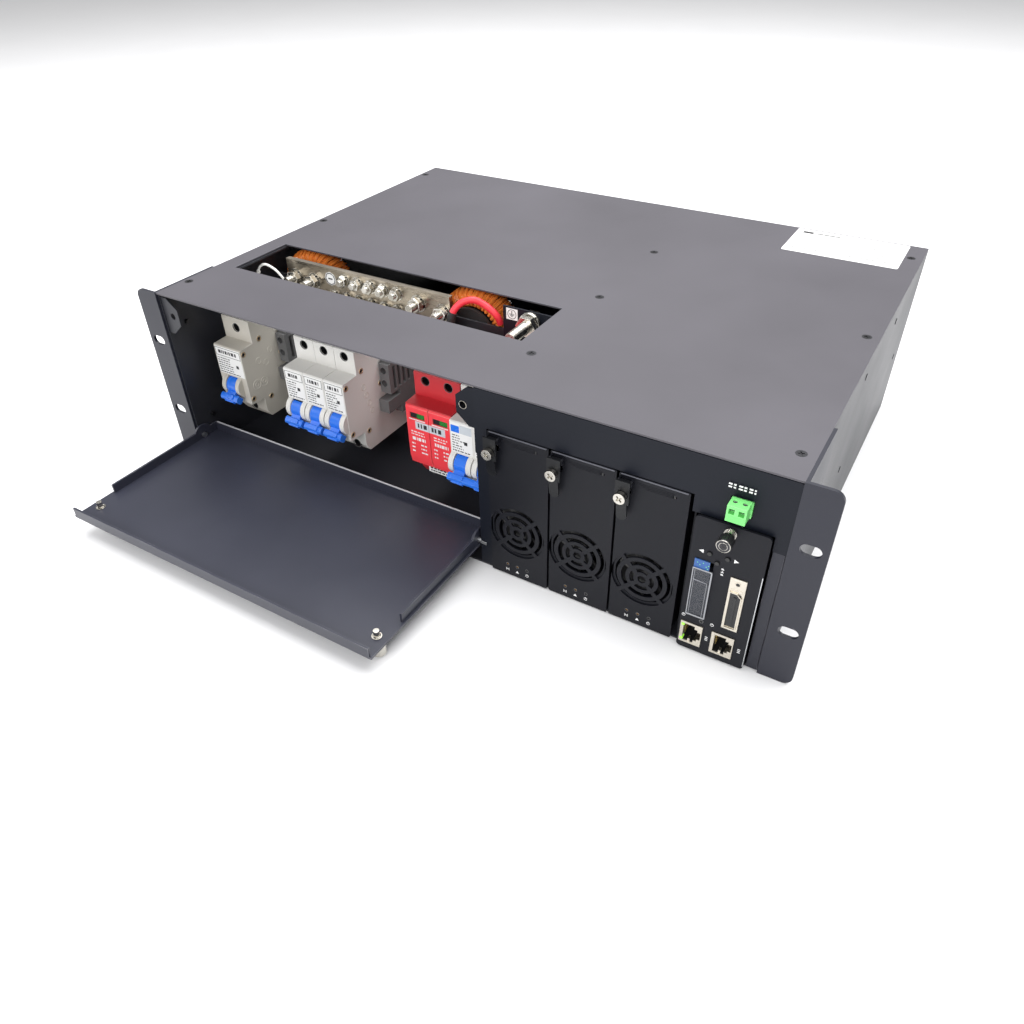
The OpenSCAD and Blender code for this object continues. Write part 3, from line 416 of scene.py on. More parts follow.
def bevel_outer(bm, width, segments=2, angle=40):
    """Bevels sharp outer edges and marks the new faces for the group that paints wear and sheen."""
    tag = bm.faces.layers.float.get("edge") or bm.faces.layers.float.new("edge")
    sharp = [e for e in bm.edges if len(e.link_faces) == 2 and e.is_convex
             and e.calc_face_angle(0) > math.radians(angle)]
    made = bmesh.ops.bevel(bm, geom=sharp, offset=width, offset_type="OFFSET", segments=segments,
                           profile=0.5, affect="EDGES", clamp_overlap=True, material=-1)
    for f in made["faces"]:
        f[tag] = 1.0

body_of = {n: b for b, names in frame["record"]["behaviour"]["bodies"].items() for n in names}

def edged(name, finish, width=0.3, segments=2, angle=40):
    """Replaces a CAD node by a copy with bevelled edges."""
    bm = bmesh.new()
    bm.from_mesh(frame["nodes"][name].data)
    bmesh.ops.remove_doubles(bm, verts=bm.verts, dist=WELD)
    bmesh.ops.dissolve_limit(bm, angle_limit=math.radians(0.4), verts=bm.verts, edges=bm.edges)
    bevel_outer(bm, width * MM, segments, angle)
    finish_piece(name + "_finished", bm, finish, body_of[name], scale=1, replaces=name)

def plain(name, finish):
    """Keeps a CAD node and gives it a better material."""
    mesh = frame["nodes"][name].data
    mesh.materials.clear()
    mesh.materials.append(look[finish])

# %% [markdown]
# ### Bevelled copies of the CAD nodes
# The real sheets have folds of about half a millimetre, and mouldings a little more. Each node
# is listed with its finish and bevel width. Nodes that hardly show keep their CAD mesh and only
# get a better material.

# %% Sheet metal and modules
edged_nodes = {
    "chassis_tray": ("shell", 0.4), "rear_panel": ("shell", 0.25), "top_cover": ("cover", 0.35),
    "front_panel": ("front", 0.45), "ear_left": ("ear", 0.45), "ear_right": ("ear", 0.45),
    "bay_divider": ("front", 0.35), "rail_bracket": ("shell", 0.3), "earth_bracket": ("front", 0.3),
    "door": ("door", 0.4), "end_brackets": ("grey", 0.35),
    "battery_breaker": ("breaker_warm", 0.55), "mains_breaker": ("breaker", 0.55),
}
edged_nodes |= {f"load_breaker_{n}": ("breaker", 0.55) for n in (1, 2, 3)}
edged_nodes |= {"surge_base": ("dark_red", 0.5), "surge_cartridge_1": ("red", 0.5),
                "surge_cartridge_2": ("red", 0.5), "bus_bar": ("bus", 0.3), "earth_stud": ("nickel", 0.3)}
for stem, finish, width in (("rectifier", "module", 0.3), ("latch", "latch", 0.35),
                            ("latch_screw", "nickel", 0.3), ("fan_rotor", "black", 0.2)):
    edged_nodes |= {f"{stem}_{n}": (finish, width) for n in (1, 2, 3)}
edged_nodes |= {
    "controller": ("module", 0.3), "button_left": ("black", 0.25), "button_right": ("black", 0.25),
    "button_escape": ("black", 0.25), "input_header": ("green", 0.25), "input_plug": ("green", 0.3),
    "cover_screws": ("black_steel", 0.12), "ear_screws": ("black_steel", 0.15),
}
for name, (finish, width) in edged_nodes.items():
    edged(name, finish, width)
print("bevelled", len(edged_nodes), "nodes")
for name, finish in {"bay_guides": "module", "din_rail": "zinc", "hinge_pins": "zinc", "backplane": "board",
                     "bus_bar_posts": "post"}.items():
    plain(name, finish)

# %% [markdown]
# ## Building blocks for small fittings
# Most fittings start from a bmesh cube or cone, put in place by the transform operators. A few
# helpers keep the later cells short.

# %% Block, rod and ring
def paint(verts, slot):
    """Gives every face around the vertices one material slot."""
    for f in {f for v in verts for f in v.link_faces}:
        f.material_index = slot

def add_block(bm, lo, hi, slot=0):
    made = bmesh.ops.create_cube(bm, size=1)["verts"]
    lo, hi = Vector(lo), Vector(hi)
    bmesh.ops.scale(bm, vec=hi - lo, verts=made)
    bmesh.ops.translate(bm, vec=(lo + hi) / 2, verts=made)
    paint(made, slot)

def add_rod(bm, start, end, r, r2=None, sides=32, slot=0):
    start, end = Vector(start), Vector(end)
    way = end - start
    put = Matrix.Translation((start + end) / 2) @ way.to_track_quat("Z", "Y").to_matrix().to_4x4()
    made = bmesh.ops.create_cone(bm, cap_ends=True, cap_tris=False, segments=sides, radius1=r,
                                 radius2=r if r2 is None else r2, depth=way.length, matrix=put)["verts"]
    paint(made, slot)
    return made

def add_pin(bm, x, z, y0, y1, r, r2=None, sides=32, slot=0):
    """A rod along Y, the way most screws and studs of this unit point."""
    return add_rod(bm, (x, y0, z), (x, y1, z), r, r2, sides, slot)

def add_ring(bm, centre, axis, r, tube, sides=40, around=10, slot=0, arc=360):
    """A small circle spun about an axis: washers, rims and grommets."""
    centre, axis = Vector(centre), Vector(axis).normalized()
    aside = axis.orthogonal().normalized()
    turned = axis.cross(aside).to_track_quat("Z", "Y").to_matrix().to_4x4()
    put = Matrix.Translation(centre + aside * r) @ turned
    before = set(bm.faces)
    loop = bmesh.ops.create_circle(bm, segments=around, radius=tube, matrix=put)["verts"]
    edges = list({e for v in loop for e in v.link_edges})
    bmesh.ops.spin(bm, geom=loop + edges, cent=centre, axis=axis, angle=math.radians(arc),
                   steps=sides, use_merge=arc == 360, use_duplicate=False)
    for f in set(bm.faces) - before:
        f.material_index = slot

def dashes(bm, x0, x1, z, rows, pitch, tall, y, rng, slot=0, fill=0.75, depth=0.06, gap=0.7):
    """Rows of short printed bars in place of lettering."""
    for row in range(rows):
        x = x0
        end = x0 + (x1 - x0) * rng.uniform(fill, 1)
        while x < end - 0.4:
            long = min(rng.uniform(0.6, 2.6), end - x)
            add_block(bm, (x, y - depth, z - row * pitch - tall), (x + long, y, z - row * pitch), slot)
            x += long + gap * rng.uniform(0.6, 1.3)

def solids(name):
    """The separate solids of a CAD node, each as its lowest and highest corner in millimetres."""
    bm = bmesh.new()
    bm.from_mesh(frame["nodes"][name].data)
    bmesh.ops.remove_doubles(bm, verts=bm.verts, dist=WELD)
    left, found = set(bm.verts), []
    while left:
        todo, seen = [next(iter(left))], set()
        while todo:
            v = todo.pop()
            if v in seen:
                continue
            seen.add(v)
            todo += [e.other_vert(v) for e in v.link_edges]
        left -= seen
        pts = [v.co / MM for v in seen]
        found.append((Vector([min(p[i] for p in pts) for i in range(3)]),
                      Vector([max(p[i] for p in pts) for i in range(3)])))
    bm.free()
    return sorted(found, key=lambda s: (round(s[0].x), s[0].z))

trial = bmesh.new()
add_ring(trial, (0, 0, 0), Z, 10, 1, 24, 8)
print("a ring of 24 by 8 steps has", len(trial.faces), "faces")
trial.free()

# %% [markdown]
# ## Breakers
# A miniature breaker has a printed front, a terminal screw deep in each round hole, rivets
# through its side and a snap toggle between two cheeks. The print is built from thin blocks
# that stand about a tenth of a millimetre proud, so it needs no image and stays sharp close up.

# %% Printed fronts
rng = random.Random(7)
RAIL = (corners("load_breaker_1")[0].z + corners("load_breaker_1")[1].z) / 2
CHEEK = 5.2  # how far the cheeks stand in front of the nose
SHOULDER = corners("load_breaker_1")[0].y + CHEEK + 15

def breaker_front(name, poles, sticker):
    lo, hi = corners(name)
    nose = lo.y + CHEEK
    pole = (hi.x - lo.x + 0.2) / poles
    bm = bmesh.new()
    for p in range(poles):
        x0, x1 = lo.x + p * pole + 0.9, lo.x + (p + 1) * pole - 1.1
        add_block(bm, (x0, nose - 0.12, RAIL - 0.3), (x1, nose + 0.3, RAIL + 21.4), 0)
        dashes(bm, x0 + 0.8, x1 - 5, RAIL + 12.6, 6, 1.9, 0.7, nose - 0.12, rng, 1, 0.5)
        dashes(bm, x0 + 0.8, x1 - 1, RAIL + 1.2, 1, 2.1, 0.8, nose - 0.12, rng, 1, 0.9)
        add_block(bm, (x1 - 6.2, nose - 0.25, RAIL + 6.6), (x1 - 3.8, nose, RAIL + 9), 1)
        if sticker:
            z0, z1 = RAIL + 14.2, RAIL + 20.6
            for a, b in (((x0 + 0.2, z0), (x1 - 0.2, z0 + 0.3)), ((x0 + 0.2, z1 - 0.3), (x1 - 0.2, z1)),
                         ((x0 + 0.2, z0), (x0 + 0.5, z1)), ((x1 - 0.5, z0), (x1 - 0.2, z1))):
                add_block(bm, (a[0], nose - 0.2, a[1]), (b[0], nose, b[1]), 1)
            dashes(bm, x0 + 3, x1 - 3, RAIL + 18.8, 1, 2, 2.6, nose - 0.12, rng, 1, 0.95, gap=0.9)
        else:
            add_block(bm, (x0 + 0.2, nose - 0.22, RAIL + 14.5), (x0 + 6.5, nose, RAIL + 19.5), 2)
            add_block(bm, (x0 + 6.9, nose - 0.2, RAIL + 14.5), (x1 - 0.2, nose, RAIL + 20.5), 3)
    finish_piece(name + "_label", bm, ["label", "ink", "blue", "sticker"])

for name, poles, sticker in (("battery_breaker", 1, True), ("load_breaker_1", 1, True),
                             ("load_breaker_2", 1, True), ("load_breaker_3", 1, True),
                             ("mains_breaker", 2, False)):
    breaker_front(name, poles, sticker)

# %% [markdown]
# ### Terminals
# Each pole has a clamp screw at both ends, reached with a screwdriver through a round hole.
# Only the screw's crossed slots show, so a short rod with two crossed bars stands deep in each
# hole. A dark sleeve lines each hole and paints the shade inside it, hiding the pale case behind it.

# %% Terminal screws and their sleeves
def terminal_screw(bm, x, y, z, r=2.9):
    add_pin(bm, x, z, y, y + 3, r, sides=24)
    add_block(bm, (x - r * 0.8, y - 0.05, z - 0.35), (x + r * 0.8, y + 0.2, z + 0.35), 1)
    add_block(bm, (x - 0.35, y - 0.05, z - r * 0.8), (x + 0.35, y + 0.2, z + r * 0.8), 1)

def terminal_holes():
    """Centres of the terminal holes, below and above the rail on each pole."""
    for name, poles, reach in (("battery_breaker", 1, 32.5), ("load_breaker_1", 1, 34.9),
                               ("load_breaker_2", 1, 34.9), ("load_breaker_3", 1, 34.9),
                               ("mains_breaker", 2, 34.9), ("surge_base", 2, 34.6)):
        lo, hi = corners(name)
        pole = (hi.x - lo.x) / poles
        for p in range(poles):
            for side in (-1, 1):
                yield lo.x + (p + 0.5) * pole, RAIL + side * reach

bm = bmesh.new()
for x, z in terminal_holes():
    terminal_screw(bm, x, SHOULDER + 9.6, z)
finish_piece("terminal_screws", bm, ["black_steel", "black"])

# a dark sleeve, open at the front, lines each hole as painted shade, and a fine rim surrounds it
bm = bmesh.new()
for x, z in terminal_holes():
    add_ring(bm, (x, SHOULDER + 0.1, z), Y, 3.3, 0.22, 40, 6)
    sleeve = add_pin(bm, x, z, SHOULDER + 0.9, SHOULDER + 10.6, 3.22, sides=36, slot=1)
    caps = [f for f in {f for v in sleeve for f in v.link_faces} if len(f.verts) > 4]
    front = min(caps, key=lambda f: f.calc_center_median().y)
    bmesh.ops.inset_region(bm, faces=[front], thickness=0.35, depth=0)
    bmesh.ops.delete(bm, geom=[front], context="FACES")
finish_piece("terminal_hole_shade", bm, ["grey", "black"])

# %% [markdown]
# ### Rivets and moulded rings
# The two halves of a breaker's case are riveted together, and the mould leaves round marks on
# its side. Rings spun from a small circle draw both. Only the two sides that stand free carry
# them.

# %% Rivets and moulded rings
bm = bmesh.new()
for name in ("battery_breaker", "load_breaker_3"):
    lo, hi = corners(name)
    nose = lo.y + CHEEK
    for y, z in ((2.8, 18.5), (3, -18.2), (20, 24), (20, -24), (38, 6)):
        add_ring(bm, (hi.x, nose + y, RAIL + z), X, 1.75, 0.42, 28, 8)
        add_rod(bm, (hi.x - 0.3, nose + y, RAIL + z), (hi.x + 0.1, nose + y, RAIL + z), 1.15,
                sides=18, slot=1)
finish_piece("breaker_rivets", bm, ["rivet", "black"])

bm = bmesh.new()
moulded = {"battery_breaker": ((9, -9, 3.6), (16.5, -9.5, 3.6), (9, -9, 1.6), (16.5, -9.5, 1.6),
                               (15, 8, 2.4), (22, 4, 2.4), (28, 12, 2.2)),
           "load_breaker_3": ((20, 11, 2.2), (22, 4, 2.0), (24, -3, 2.0), (26, -10, 2.0))}
for name, circles in moulded.items():
    lo, hi = corners(name)
    for y, z, r in circles:
        add_ring(bm, (hi.x, lo.y + CHEEK + y, RAIL + z), X, r, 0.24, 36, 6)
finish_piece("moulded_rings", bm, "breaker_warm")

# %% [markdown]
# ### Toggles
# Each handle is a barrel with a neck and a ribbed paddle. The paddle is easier to draw as an
# outline in side view, which is then extruded, than to carve from a block. The parts are built
# upright round the pivot and turned down together, as the switches stand when they are off.

# %% Snap toggles
def toggle_piece(name, poles, paddle):
    lo, hi = corners(name)
    mid = (lo.x + hi.x) / 2
    pivot = Vector((mid, hi.y - 6.8, hi.z - 6.8))
    pole = 18 if poles > 1 else 0
    bm = bmesh.new()
    for p in range(poles):
        c = (p - (poles - 1) / 2) * pole
        add_rod(bm, (c - 4.4, 0, 0), (c + 4.4, 0, 0), 6.8, sides=48)
        add_block(bm, (c - 4, -9.8, -2.2), (c + 4, -4, 2.4))
    outline = [(-8.7, -3.0), (-12.6, -3.4), (-13.8, -2.4), (-13.8, 1.4), (-12.6, 2.7), (-10.4, 3.0),
               (-8.7, 2.4)]
    verts = [bm.verts.new((-paddle / 2, y, z)) for y, z in outline]
    face = bm.faces.new(verts)
    grown = bmesh.ops.extrude_face_region(bm, geom=[face])["geom"]
    bmesh.ops.translate(bm, vec=(paddle, 0, 0), verts=[g for g in grown if isinstance(g, bmesh.types.BMVert)])
    for p in range(poles):
        c = (p - (poles - 1) / 2) * pole
        add_block(bm, (c - 4.4, -12.8, 2.2), (c + 4.4, -9.4, 3.7))
        add_block(bm, (c - 4.4, -14.7, -1.9), (c + 4.4, -13.4, 1.2))
        add_block(bm, (c - 3.6, -13.2, -4.6), (c + 3.6, -10.2, -3))
    bmesh.ops.recalc_face_normals(bm, faces=bm.faces)
    bevel_outer(bm, 0.35, 2, 30)
    bmesh.ops.rotate(bm, cent=(0, 0, 0), matrix=Matrix.Rotation(math.radians(42), 3, "X"), verts=bm.verts)
    bmesh.ops.translate(bm, vec=pivot, verts=bm.verts)
    finish_piece(name + "_moulding", bm, "blue", name, replaces=name)

for name, poles, paddle in (("battery_toggle", 1, 17), ("load_toggle_1", 1, 15.6), ("load_toggle_2", 1, 15.6),
                            ("load_toggle_3", 1, 15.6), ("mains_toggle", 2, 33)):
    toggle_piece(name, poles, paddle)
print("breakers dressed")

# %% [markdown]
# ## Surge protector
# Two plug-in cartridges carry a status window, a sticker and fine print. The print is drawn
# as plain bars, so it reads as print without saying anything.

# %% Cartridge fronts
for n in (1, 2):
    lo, hi = corners(f"surge_cartridge_{n}")
    top = hi.z
    bm = bmesh.new()
    add_block(bm, (lo.x + 2.6, lo.y + 0.9, top - 9.6), (hi.x - 2.6, lo.y + 1.4, top - 4.6), 0)
    add_block(bm, (lo.x + 8.2, lo.y + 0.75, top - 8.8), (hi.x - 3.6, lo.y + 1.3, top - 5.6), 1)
    for k in range(6):
        y = lo.y + 2.6 + k * 2.1
        add_block(bm, (lo.x + 1.2, y, top - 0.3), (hi.x - 1.2, y + 0.9, top + 0.55), 5)
    add_block(bm, (lo.x + 2.4, lo.y - 0.25, top - 10.1), (hi.x - 2.4, lo.y + 0.5, top - 9.5), 2)
    x0, x1 = (lo.x + 7, hi.x + 0.05) if n == 1 else (lo.x - 0.05, hi.x - 5)
    add_block(bm, (x0, lo.y - 0.2, top - 16.6), (x1, lo.y + 0.1, top - 10.8), 3)
    dashes(bm, x0 + 2, x1 - 1, top - 12, 1, 2, 3.2, lo.y - 0.2, rng, 4, 0.95, gap=1.1)
    dashes(bm, lo.x + 3, hi.x - 3, top - 19, 2, 2, 0.8, lo.y + 0.02, rng, 2, 0.8)
    dashes(bm, lo.x + 3.5, hi.x - 3, top - 23.6, 1, 2, 2.4, lo.y + 0.02, rng, 2, 0.95)
    for k in range(3):
        z = top - 28.4 - k * 3
        dashes(bm, lo.x + 2.6, lo.x + 5.6, z, 1, 2, 1.1, lo.y + 0.02, rng, 2, 0.9)
        dashes(bm, lo.x + 10, hi.x - 2.4, z, 1, 2, 1.1, lo.y + 0.02, rng, 2, 0.9)
    dashes(bm, lo.x + 2.4, hi.x - 2, top - 37.2, 1, 2, 1.5, lo.y + 0.3, rng, 2, 0.95)
    finish_piece(f"cartridge_front_{n}", bm, ["black", "status", "white_ink", "sticker", "ink", "red"],
                 f"surge_cartridge_{n}")
lo, hi = corners("surge_base")
bm = bmesh.new()
add_block(bm, (lo.x + 12.5, lo.y + 3, RAIL - 29.2), (hi.x - 0.5, SHOULDER + 1, RAIL - 24.2))
dashes(bm, lo.x + 14, hi.x - 1, RAIL - 25.2, 2, 2, 1.1, lo.y + 3, rng, 1, 0.9)
finish_piece("surge_plate", bm, ["label", "ink"])

# %% [markdown]
# ## Bus bar
# The return bar carries two rows of small studs and four large ones. Each has a flat washer, a
# split washer, a hex nut and the thread of its stud. The washers are rings spun from a small
# circle; the nut is a six-sided cone with its corners bevelled.

# %% Studs and nuts
bm = bmesh.new()
bar_front = corners("bus_bar")[0].y
for lo, hi in solids("bus_bar_bolts"):
    x, z = (lo.x + hi.x) / 2, (lo.z + hi.z) / 2
    wide = (hi.x - lo.x) / 2
    nut = wide * 0.88
    add_pin(bm, x, z, bar_front - 0.9, bar_front - 0.02, wide, sides=36)
    add_ring(bm, (x, bar_front - 1.5, z), Y, wide * 0.66, 0.62, 36, 8, arc=345)
    y0 = bar_front - 2.1
    height = wide * 0.62
    hexa = add_pin(bm, x, z, y0 - height, y0, nut, sides=6)
    bmesh.ops.rotate(bm, verts=hexa, cent=(x, y0, z), matrix=Matrix.Rotation(rng.uniform(0, 1), 3, "Y"))
    top = [f for f in {f for v in hexa for f in v.link_faces}
           if abs(f.normal.y) > 0.9 and f.calc_center_median().y < y0 - 0.1]
    bmesh.ops.inset_region(bm, faces=top, thickness=nut * 0.22, depth=0.35)
    add_pin(bm, x, z, lo.y, y0, wide / 2.1 * 0.98, sides=28)
    turns = int((y0 - height - lo.y) / 0.8)
    for t in range(max(turns, 1)):
        add_ring(bm, (x, lo.y + 0.5 + t * 0.8, z), Y, wide / 2.1 * 0.93, 0.3, 28, 6)
bmesh.ops.recalc_face_normals(bm, faces=bm.faces)
bevel_outer(bm, 0.14, 2, 40)
finish_piece("bus_studs", bm, "nickel", replaces="bus_bar_bolts")

lo, hi = corners("bus_bar")
bm = bmesh.new()
x, y, z = lo.x + 42.4, lo.y - 0.15, hi.z - 8
add_pin(bm, x, z, y, lo.y + 0.05, 5.2, sides=8)
add_ring(bm, (x, y, z), Y, 4.4, 0.34, 8, 6, slot=1)
add_block(bm, (x - 2, y - 0.1, z - 0.5), (x + 2, y + 0.1, z + 0.5), 1)
finish_piece("polarity_label", bm, ["label", "ink"])

# %% [markdown]
# ## Chokes and wires
# Each choke is a ring core wound with enamelled wire. The winding is a single curve that runs
# round and round the ring, given a thickness by its bevel depth and turned into a mesh. The
# loose wires are curves too, and follow the same routes as their CAD solids.

# %% Wound rings
def tube_mesh(points, radius, closed=False, resolution=3):
    """Sweeps a round tube along points given in millimetres and returns it as a bmesh in millimetres."""
    curve = bpy.data.curves.new("sweep", "CURVE")
    curve.dimensions = "3D"
    curve.bevel_depth = radius
    curve.bevel_resolution = resolution
    curve.use_fill_caps = not closed
    curve.resolution_u = 4
    line = curve.splines.new("BEZIER" if not closed else "POLY")
    if closed:
        line.points.add(len(points) - 1)
        for p, co in zip(line.points, points):
            p.co = (*co, 1)
        line.use_cyclic_u = True
    else:
        line.bezier_points.add(len(points) - 1)
        for p, co in zip(line.bezier_points, points):
            p.co = co
            p.handle_left_type = p.handle_right_type = "AUTO"
    obj = bpy.data.objects.new("sweep", curve)
    bpy.context.scene.collection.objects.link(obj)
    mesh = bpy.data.meshes.new_from_object(obj.evaluated_get(bpy.context.evaluated_depsgraph_get()))
    bm = bmesh.new()
    bm.from_mesh(mesh)
    bpy.data.objects.remove(obj)
    bpy.data.curves.remove(curve)
    bpy.data.meshes.remove(mesh)
    bmesh.ops.remove_doubles(bm, verts=bm.verts, dist=0.001)
    return bm

def merge_into(bm, other):
    keep = bpy.data.meshes.new("merge")
    other.to_mesh(keep)
    other.free()
    bm.from_mesh(keep)
    bpy.data.meshes.remove(keep)

def winding(centre, y0, y1, inner, outer, turns, gauge, start=0.0):
    """One closed coil of wire round a ring whose axis lies along Y."""
    pts = []
    per = 12
    mid, half = (inner + outer) / 2, (outer - inner) / 2
    yc, yh = (y0 + y1) / 2, (y1 - y0) / 2
    for i in range(turns * per):
        a = 2 * math.pi * i / per
        out, along = math.cos(a), math.sin(a)
        k = 1 / max(abs(out), abs(along)) ** 0.7
        r, y = mid + half * out * k, yc + yh * along * k
        t = start + 2 * math.pi * i / (turns * per)
        pts.append((centre[0] + r * math.cos(t), y, centre[1] + r * math.sin(t)))
    return tube_mesh(pts, gauge, closed=True, resolution=1)

bm = bmesh.new()
for lo, hi in solids("chokes"):
    r = (hi.x - lo.x) / 2
    centre = ((lo.x + hi.x) / 2, (lo.z + hi.z) / 2)
    y0, y1 = lo.y + 2.3, hi.y
    add_ring(bm, (centre[0], (y0 + y1) / 2, centre[1]), Y, r * 0.755, r * 0.19, 56, 14)
    add_pin(bm, centre[0], centre[1], lo.y, y0 + 0.4, r * 0.6, sides=40)
    add_ring(bm, (centre[0], y0 + 0.6, centre[1]), Y, r * 0.5, 0.9, 48, 10)
finish_piece("choke_cores", bm, "rubber")
bm = bmesh.new()
for lo, hi in solids("chokes"):
    r = (hi.x - lo.x) / 2
    centre = ((lo.x + hi.x) / 2, (lo.z + hi.z) / 2)
    merge_into(bm, winding(centre, lo.y + 3.9, hi.y - 1.4, r * 0.555, r - 1.4, 42, 1.25))
    merge_into(bm, winding(centre, lo.y + 4.7, hi.y - 2.2, r * 0.62, r - 2.6, 42, 1.25, 0.075))
finish_piece("choke_windings", bm, "copper", replaces="chokes", even=False)

# %% [markdown]
# ### Wires
# Two short wires rise and dip under the window. A wire is a curve with a bevel depth: only the
# route has to be drawn, and the roundness comes free. The sleeve and the second loop at their
# ends are short tubes of their own.

# %% Loose wires
battery_route = [(-41.8, 91, 97), (-41.8, 91.3, 105), (-41.8, 91.6, 112), (-40.8, 92.8, 119.5),
                 (-37.6, 96.8, 125.5), (-33.4, 100, 128), (-28, 103, 128.4), (-23.1, 105, 126),
                 (-17.5, 106, 122.6), (-13, 107, 118), (-12, 109, 112.6)]
sense_route = [(-214, 80, 96), (-215, 82, 108), (-213, 83.5, 119), (-207, 84.5, 126),
               (-199, 86, 124.6), (-193, 88, 118), (-189, 90.5, 109)]
def lowered(route):
    return [(x, y, z + FROM_FLOOR) for x, y, z in route]

finish_piece("battery_wire_jacket", tube_mesh(lowered(battery_route), 2.35, resolution=6), "red_wire",
             replaces="battery_wire", even=False)
finish_piece("sense_wire_jacket", tube_mesh(lowered(sense_route), 0.9, resolution=4), "white_wire",
             replaces="sense_wire", even=False)
sleeve_route = [(-41.8, 91.2, 100), (-41.8, 91.5, 110), (-41.1, 92.4, 117.5), (-40.2, 93.4, 120.6)]
bm = tube_mesh(lowered(sleeve_route), 3.1, resolution=6)
finish_piece("battery_wire_sleeve", bm, "rubber", even=False)
boot_route = [(-215.6, 82, 106), (-214.4, 83, 115), (-212, 83.8, 120.5)]
second_route = [(-217, 81.4, 104), (-216.4, 83, 113), (-213.4, 84.6, 120)]
bm = tube_mesh(lowered(boot_route), 1.5, resolution=4)
merge_into(bm, tube_mesh(lowered(second_route), 0.9, resolution=4))
finish_piece("sense_wire_loop", bm, "white_wire", even=False)
print("chokes wound, wires routed")

# %% [markdown]
# ## Earth point
# The earth stud is a long threaded rod with a nut and washers, on a bracket under the window.
# Stacked rings read as a thread and need far fewer faces than a true helix. The label carries
# the plain earth symbol.

# %% Earth point
lo, hi = corners("earth_stud")
x, z = (lo.x + hi.x) / 2, (lo.z + hi.z) / 2
bm = bmesh.new()
for t in range(15):
    add_ring(bm, (x, lo.y + 0.8 + t * 1.25, z), Y, 3.72, 0.42, 32, 6)
add_ring(bm, (x, hi.y - 9.6, z), Y, 7.3, 0.75, 44, 8, arc=350)
finish_piece("earth_thread", bm, "nickel")
lo, hi = corners("earth_bracket")
face = 104.5  # the bracket's front, behind the nut and washer
bm = bmesh.new()
cx, cz = lo.x + 7, hi.z - 5
add_block(bm, (cx - 4.4, face - 0.15, cz - 4), (cx + 4.4, face + 0.05, cz + 4), 0)
add_ring(bm, (cx, face - 0.15, cz), Y, 3.2, 0.2, 32, 6, slot=1)
add_block(bm, (cx - 0.25, face - 0.25, cz), (cx + 0.25, face, cz + 2.4), 1)
for k, half in enumerate((2, 1.3, 0.6)):
    add_block(bm, (cx - half, face - 0.25, cz - 0.25 - k * 0.8), (cx + half, face, cz + 0.15 - k * 0.8), 1)
finish_piece("earth_label", bm, ["label", "ink"])

# %% [markdown]
# ## Cover fittings
# The rating label on the cover carries only bars in place of print. The cover's screws come
# from CAD and need only a finish.

# %% Rating label
lo, hi = corners("top_cover")
bm = bmesh.new()
x0, x1, y0, y1 = 127.0, 209.5, hi.y - 52, hi.y - 2  # the label's place at the rear right corner
add_block(bm, (x0, y0, hi.z), (x1, y1, hi.z + 0.12), 0)
up = [e for e in bm.edges if abs((e.verts[0].co - e.verts[1].co).z) > 0.05]
bmesh.ops.bevel(bm, geom=up, offset=1.5, offset_type="OFFSET", segments=4, profile=0.5, affect="EDGES",
                clamp_overlap=True, material=-1)
for side in (0, 1):
    for row in range(6):
        start_x = x0 + 5 + side * 42
        y = y1 - 13 - row * 5.6
        x, end = start_x, start_x + rng.uniform(18, 32)
        while x < end:
            long = rng.uniform(1.5, 5)
            add_block(bm, (x, y - 1.1, hi.z + 0.1), (x + long, y, hi.z + 0.16), 1)
            x += long + 1
add_block(bm, (x0 + 5, y1 - 8.5, hi.z + 0.1), (x0 + 13, y1 - 4.5, hi.z + 0.16), 1)
add_block(bm, (x0 + 15, y1 - 7.4, hi.z + 0.1), (x0 + 33, y1 - 5.6, hi.z + 0.16), 1)
finish_piece("rating_label", bm, ["label", "ink"])

# %% [markdown]
# ### Screws on the side walls
# Low domed heads hold the shell's folds together. A short cone with a bevelled rim is enough at
# this size.

# %% Screws on the side walls
bm = bmesh.new()
wall = corners("top_cover")[1].x
for s in (-1, 1):
    for y, z in ((232, 117), (141, 119), (136.5, 55), (300, 60)):
        z += FROM_FLOOR
        add_rod(bm, (s * (wall - 0.2), y, z), (s * (wall + 0.5), y, z), 2.4, 1.9, sides=28)
bevel_outer(bm, 0.2, 2, 50)
finish_piece("side_screws", bm, "black_steel")

# %% [markdown]
# ## Rectifier fronts
# Small indicator lenses, their printed marks and a louvred strip under the top edge finish
# each module. They ride on the module, so they come out with it.

